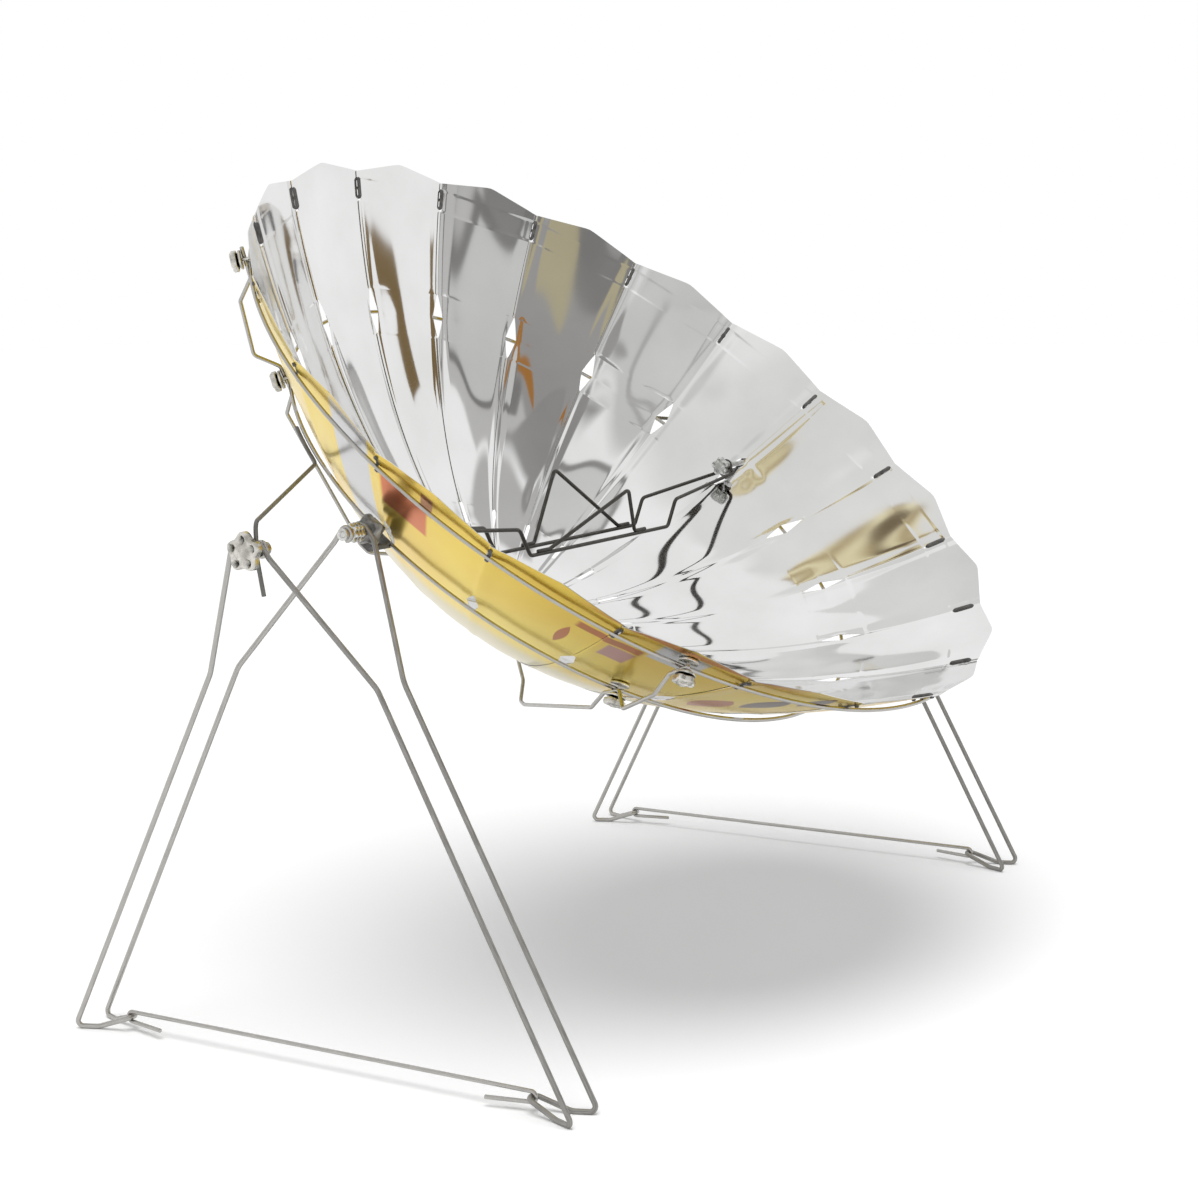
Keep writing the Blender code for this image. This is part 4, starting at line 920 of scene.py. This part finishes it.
# One wire makes one leg: hook on the outer bolt, down to the foot, in to the tip, back to
# the second foot and up to the hook on the inner bolt. The rear leg's outer hook first runs
# back nearly level. The underside of the feet is filed flat.
def makeLeg(side, word, front, end):
    loop = pivotSizes["bolt"] + gap + legWire
    tipRadius = stand["linkWire"] + legWire + 4 * gap
    outerEye, innerEye = ("outerFront", "frontEye") if front < 0 else ("outerRear", "rearEye")
    reach, height = stand["bendReach"], stand["bendHeight"]
    heading = Vector((0.0, front * reach, height - pivot.z)).normalized()
    lean, run = heading, stand["hookRun"]
    if front > 0:
        lean = Vector((0.0, 1.0, -stand["rearHookFall"])).normalized()
        run = stand["rearHookRun"]
    first = hookPath(pivot + Vector((side * stack[outerEye], 0, 0)), loop, lean, front)
    last = hookPath(pivot + Vector((side * stack[innerEye], 0, 0)), loop, heading, front)[::-1]
    outer, inner, foot = stand["footOuter"], stand["footInner"], legWire - stand["sink"]
    tip, flat = (outer + inner) / 2, stand["footReach"] - stand["footFlat"]
    share = stand["footFlat"] / (stand["footReach"] - stand["tipReach"])
    corners = [
        (stand["bendOuter"], reach, height), (outer, stand["footReach"], foot),
        (outer + (tip - outer) * share, flat, foot),
        (tip + tipRadius, stand["tipReach"], stand["tipHeight"]),
        (tip - tipRadius, stand["tipReach"], stand["tipHeight"]),
        (inner + (tip - inner) * share, flat, foot), (inner, stand["footReach"], foot),
        (stand["bendInner"], reach, height),
    ]
    away = heading * stand["hookRun"] * loop
    middle = [Vector((side * x, front * y, z)) for x, y, z in corners]
    middle = [first[-1] + lean * run * loop, *middle, last[0] + away]
    bends = [*stand["bends"], tipRadius * stand["tipBend"]]
    path = rounded([first[-1], *middle, last[0]], bends + bends[::-1])
    path = first[:-1] + path + last[1:]
    shell = tubeShell(path, legWire, sides=16)
    shell["verts"][:, 2] = np.maximum(shell["verts"][:, 2], 0.0)
    body = "stand" if front > 0 else f"front_leg_{word}"
    # The front legs take the darker steel, whose grey is painted shade.
    metal = steel if front > 0 else shadedSteel
    makePiece(f"{end}_leg_{word}_wire", shell, (metal,), body, (f"{end}_leg_{word}",))


# A link lies between the tips of two feet. Each end goes half round the tip and runs back as
# a tail.
def makeLink(side, word):
    loop = legWire + gap + stand["linkWire"]
    x = (stand["footOuter"] + stand["footInner"]) / 2
    path, steps = [], 24
    for front in (1, -1):
        centre = Vector((side * x, front * stand["tipReach"], stand["tipHeight"]))
        turns = [math.pi * (step / steps - 0.5) for step in range(steps + 1)]
        half = [centre + loop * Vector((0.0, front * math.cos(t), math.sin(t))) for t in turns]
        tail = stand["linkTail"]
        tail = Vector((side * tail * stand["splay"], -front * tail, -loop))
        half.insert(0, centre + tail)
        path += half if front > 0 else half[::-1]
    name = f"link_{word}"
    makePiece(name + "_wire", tubeShell(path, stand["linkWire"]), (steel,), name, (name,))


for side, word in ((-1, "left"), (1, "right")):
    makeLeg(side, word, -1, "front")
    makeLeg(side, word, 1, "rear")
    makeLink(side, word)
print("stands made")


# A rod of the pot cradle hooks on both inner bolts and dips into the dish. Its bail is welded
# on top of it, higher by a rise that is given in radii of the wire.
cradle = {"drop": 0.051, "halfLength": 0.135, "halfWidth": 0.021, "lean": 30.0,
          "shoulder": 0.018, "kneeDrop": 0.45, "apexFront": (0.030, 0.036, 0.0),
          "apexRear": (0.0, 0.036, 0.022), "bailStart": 0.100, "bailEnd": 0.065,
          "weld": 0.022, "weldRise": 1.5, "bailBends": (0.010, 0.007, 0.008),
          "rodBends": (0.004, 0.010, 0.008, 0.008, 0.010, 0.004)}


def makeCradle(front, end):
    loop = pivotSizes["bolt"] + gap + cradleWire
    lean = math.radians(cradle["lean"])
    heading = Vector((0.0, front * math.sin(lean), -math.cos(lean)))
    wide, drop = cradle["halfWidth"], cradle["drop"]
    eyes = []
    for side in (-1, 1):
        eye = "firstEye" if side * front > 0 else "secondEye"
        eyes.append(hookPath(pivot + Vector((side * stack[eye], 0, 0)), loop, heading, front))
    middle = []
    for side, eye in ((-1, eyes[0]), (1, eyes[1])):
        knee = cradle["halfLength"] + cradle["shoulder"]
        dip = [eye[-1] + heading * stand["hookRun"] * loop,
               pivot + Vector((side * knee, front * wide, -cradle["kneeDrop"] * drop)),
               pivot + Vector((side * cradle["halfLength"], front * wide, -drop))]
        middle += dip if side < 0 else dip[::-1]
    path = rounded([eyes[0][-1], *middle, eyes[1][-1]], cradle["rodBends"])
    path = eyes[0][:-1] + path + eyes[1][::-1][1:]
    top = -drop + cradle["weldRise"] * cradleWire
    apex = cradle["apexFront"] if front < 0 else cradle["apexRear"]
    start, stop = cradle["bailStart"], cradle["bailEnd"]
    spots = [(-start - cradle["weld"], wide, top), (-start, wide, top), apex,
             (stop, wide, top), (stop + cradle["weld"], wide, top)]
    route = [pivot + Vector((-front * x, front * y, z)) for x, y, z in spots]
    bail = rounded(route, cradle["bailBends"])
    shells = [tubeShell(line, cradleWire) for line in (path, bail)]
    makePiece(f"cradle_{end}_wires", joinShells(shells), (oxidised,), "pot_cradle",
              (f"cradle_frame_{end}",))


makeCradle(-1, "front")
makeCradle(1, "rear")
print("pot cradle made")


# The camera. Its yaw, pitch and roll are in degrees.
view = {"place": (-2.0835, -1.3253, 0.7265), "lens": 71.3, "yaw": -57.84, "pitch": 8.31,
        "roll": -1.35, "sensor": 36.0, "farthest": 60.0}


def makeCamera():
    yaw, pitch, roll = (math.radians(view[key]) for key in ("yaw", "pitch", "roll"))
    ahead = Vector((-math.sin(yaw) * math.cos(pitch), math.cos(yaw) * math.cos(pitch),
                    -math.sin(pitch)))
    right = ahead.cross(Vector((0, 0, 1))).normalized()
    up = right.cross(ahead)
    rolledRight = math.cos(roll) * right + math.sin(roll) * up
    rolledUp = math.cos(roll) * up - math.sin(roll) * right
    camera = bpy.data.objects.new("camera", bpy.data.cameras.new("camera"))
    turn = Matrix((rolledRight, rolledUp, -ahead)).transposed().to_4x4()
    camera.matrix_world = Matrix.Translation(view["place"]) @ turn
    camera.data.lens = view["lens"]
    camera.data.sensor_width = view["sensor"]
    camera.data.clip_end = view["farthest"]
    bpy.context.scene.collection.objects.link(camera)
    bpy.context.scene.camera = camera


# The floor is flat, white and matt. To the camera and the mirrors it also glows faintly, so
# that it meets the white background without an edge.
floorLook = {"reach": 14.0, "colour": "#fbfbfb", "glow": 0.06}


def makeFloor():
    reach = floorLook["reach"]
    corners = [(-reach, -reach, 0), (reach, -reach, 0), (reach, reach, 0), (-reach, reach, 0)]
    mesh = bpy.data.meshes.new("floor")
    mesh.from_pydata(corners, [], [[0, 1, 2, 3]])
    material, tree, shader = newMaterial("pale_floor", {
        "Base Color": linear(floorLook["colour"]), "Roughness": 0.9, "Specular IOR Level": 0.0,
        "Emission Color": (1.0, 1.0, 1.0, 1.0)})
    ray = addNode(tree, "ShaderNodeLightPath")
    seen = addNode(tree, "ShaderNodeMath", {"operation": "MAXIMUM"},
                   {0: ray.outputs["Is Camera Ray"], 1: ray.outputs["Is Glossy Ray"]})
    glow = addNode(tree, "ShaderNodeMath", {"operation": "MULTIPLY", 1: floorLook["glow"]},
                   {0: seen})
    linkNode(tree, shader, {"Emission Strength": glow})
    mesh.materials.append(material)
    floor = bpy.data.objects.new("floor", mesh)
    bpy.context.scene.collection.objects.link(floor)


# What the mirrors see: a bright room with grey, brown and gold cards hung in it, as in a
# studio. Places are azimuth and elevation in degrees.
room = {"bright": "#fbfbfb", "edge": 0.06, "cards": [
    (-158, 68, 56, 26, "#e9e9e8", {"edge": 0.3}),
    (120, 78, 66, 12, "#e9e9e8", {"edge": 0.3}),
    (57, 60, 9, 6, "#e4e4e3"),
    (-116, 39, 16, 13, "#d2d2d1", {"edge": 0.25}),
    (-118, 40, 11, 10, "#b3b2b1", {"shape": "leaf"}),
    (-119, 40, 10, 9.4, "#d6d6d5", {"shape": "leaf"}),
    (-50, 43, 18, 9, "#bcbbba", {"edge": 0.2}),
    (-76, 53, 24, 10, "#8e8d8c", {"shape": "leaf"}),
    (-76, 53, 21, 8.6, "#d8d8d7", {"shape": "leaf"}),
    (-84, 37, 17, 8, "#979695", {"turn": 12, "edge": 0.2}),
    (-92, 24, 17, 10, "#9f9e9d"),
    (-98, 20, 3, 8, "#838281", {"turn": 20, "shape": "leaf"}),
    (-94, 19, 2.2, 5.5, "#b5ad90", {"shape": "leaf"}),
    (-68, 28, 10, 6, "#c4c3c2", {"edge": 0.2}),
    (-71, 13, 12.5, 11, "#c6c5c4"),
    (-79, 9, 5, 5, "#8a8988", {"edge": 0.2}),
    (-73, 19, 10.6, 12.4, "#7c7b7a", {"shape": "leaf"}),
    (-73, 19, 9.2, 10.4, "#cfcfce", {"shape": "leaf"}),
    (-44, 13, 3.4, 6.6, "#7e6a4a"),
    (-82, 26, 1.8, 8, "#a9763c", {"shape": "leaf"}),
    (-147, 67, 2.4, 14, "#a8946a", {"turn": -66, "shape": "leaf",
     "stripeColour": "#f6ecc4", "stripes": 0.5}),
    (92, 76.5, 3.0, 32, "#a8946a", {"turn": 90, "shape": "leaf",
     "stripeColour": "#f6ecc4", "stripes": 0.5}),
    (104, 76.3, 1.2, 11, "#6e5f48", {"turn": 90, "shape": "leaf"}),
]}

# The softbox is a sun whose size is in degrees.
light = {"sky": 0.48, "sun": 1.86, "sunSize": 42.0, "sunFrom": (-0.22, -0.06, 1.0)}


# Azimuth and elevation of the ray, in degrees: atan2(y, x) and asin(z).
def skyPlace(tree):
    where = addNode(tree, "ShaderNodeTexCoord")
    ray = addNode(tree, "ShaderNodeSeparateXYZ", {}, {"Vector": where.outputs["Generated"]})
    around = addNode(tree, "ShaderNodeMath", {"operation": "ARCTAN2"},
                     {0: ray.outputs["Y"], 1: ray.outputs["X"]})
    above = addNode(tree, "ShaderNodeMath", {"operation": "ARCSINE"}, {0: ray.outputs["Z"]})
    both = addNode(tree, "ShaderNodeCombineXYZ", {}, {"X": around, "Y": above})
    return addNode(tree, "ShaderNodeVectorMath",
                   {"operation": "SCALE", "Scale": 180 / math.pi}, {0: both})


# The world is white to the camera, the room to the mirrors and an even sky to all else.
def makeLight():
    lamp = bpy.data.lights.new("softbox", "SUN")
    lamp.energy = light["sun"]
    lamp.angle = math.radians(light["sunSize"])
    holder = bpy.data.objects.new("softbox", lamp)
    holder.rotation_euler = Vector(light["sunFrom"]).to_track_quat("Z", "Y").to_euler()
    holder.visible_glossy = False
    bpy.context.scene.collection.objects.link(holder)
    world = bpy.data.worlds.new("studio")
    bpy.context.scene.world = world
    world.use_nodes = True
    tree = world.node_tree
    tree.nodes.clear()
    ray = addNode(tree, "ShaderNodeLightPath")
    bright = addNode(tree, "ShaderNodeRGB")
    bright.outputs[0].default_value = linear(room["bright"])
    colour = addPatches(tree, skyPlace(tree), bright, room["cards"], room["edge"])
    mirrored = addNode(tree, "ShaderNodeBackground", {}, {"Color": colour})
    white = (1.0, 1.0, 1.0, 1.0)
    sky = addNode(tree, "ShaderNodeBackground", {"Color": white, "Strength": light["sky"]})
    seen = addNode(tree, "ShaderNodeBackground", {"Color": white, "Strength": 1.0})
    lit = addNode(tree, "ShaderNodeMixShader", {},
                  {0: ray.outputs["Is Glossy Ray"], 1: sky, 2: mirrored})
    plain = addNode(tree, "ShaderNodeMath", {"operation": "MAXIMUM"},
                    {0: ray.outputs["Is Camera Ray"], 1: ray.outputs["Is Transmission Ray"]})
    shown = addNode(tree, "ShaderNodeMixShader", {}, {0: plain, 1: lit, 2: seen})
    addNode(tree, "ShaderNodeOutputWorld", {}, {"Surface": shown})


makeCamera()
makeFloor()
makeLight()
bpy.context.scene.view_settings.view_transform = "Standard"
print("camera, floor and light set")
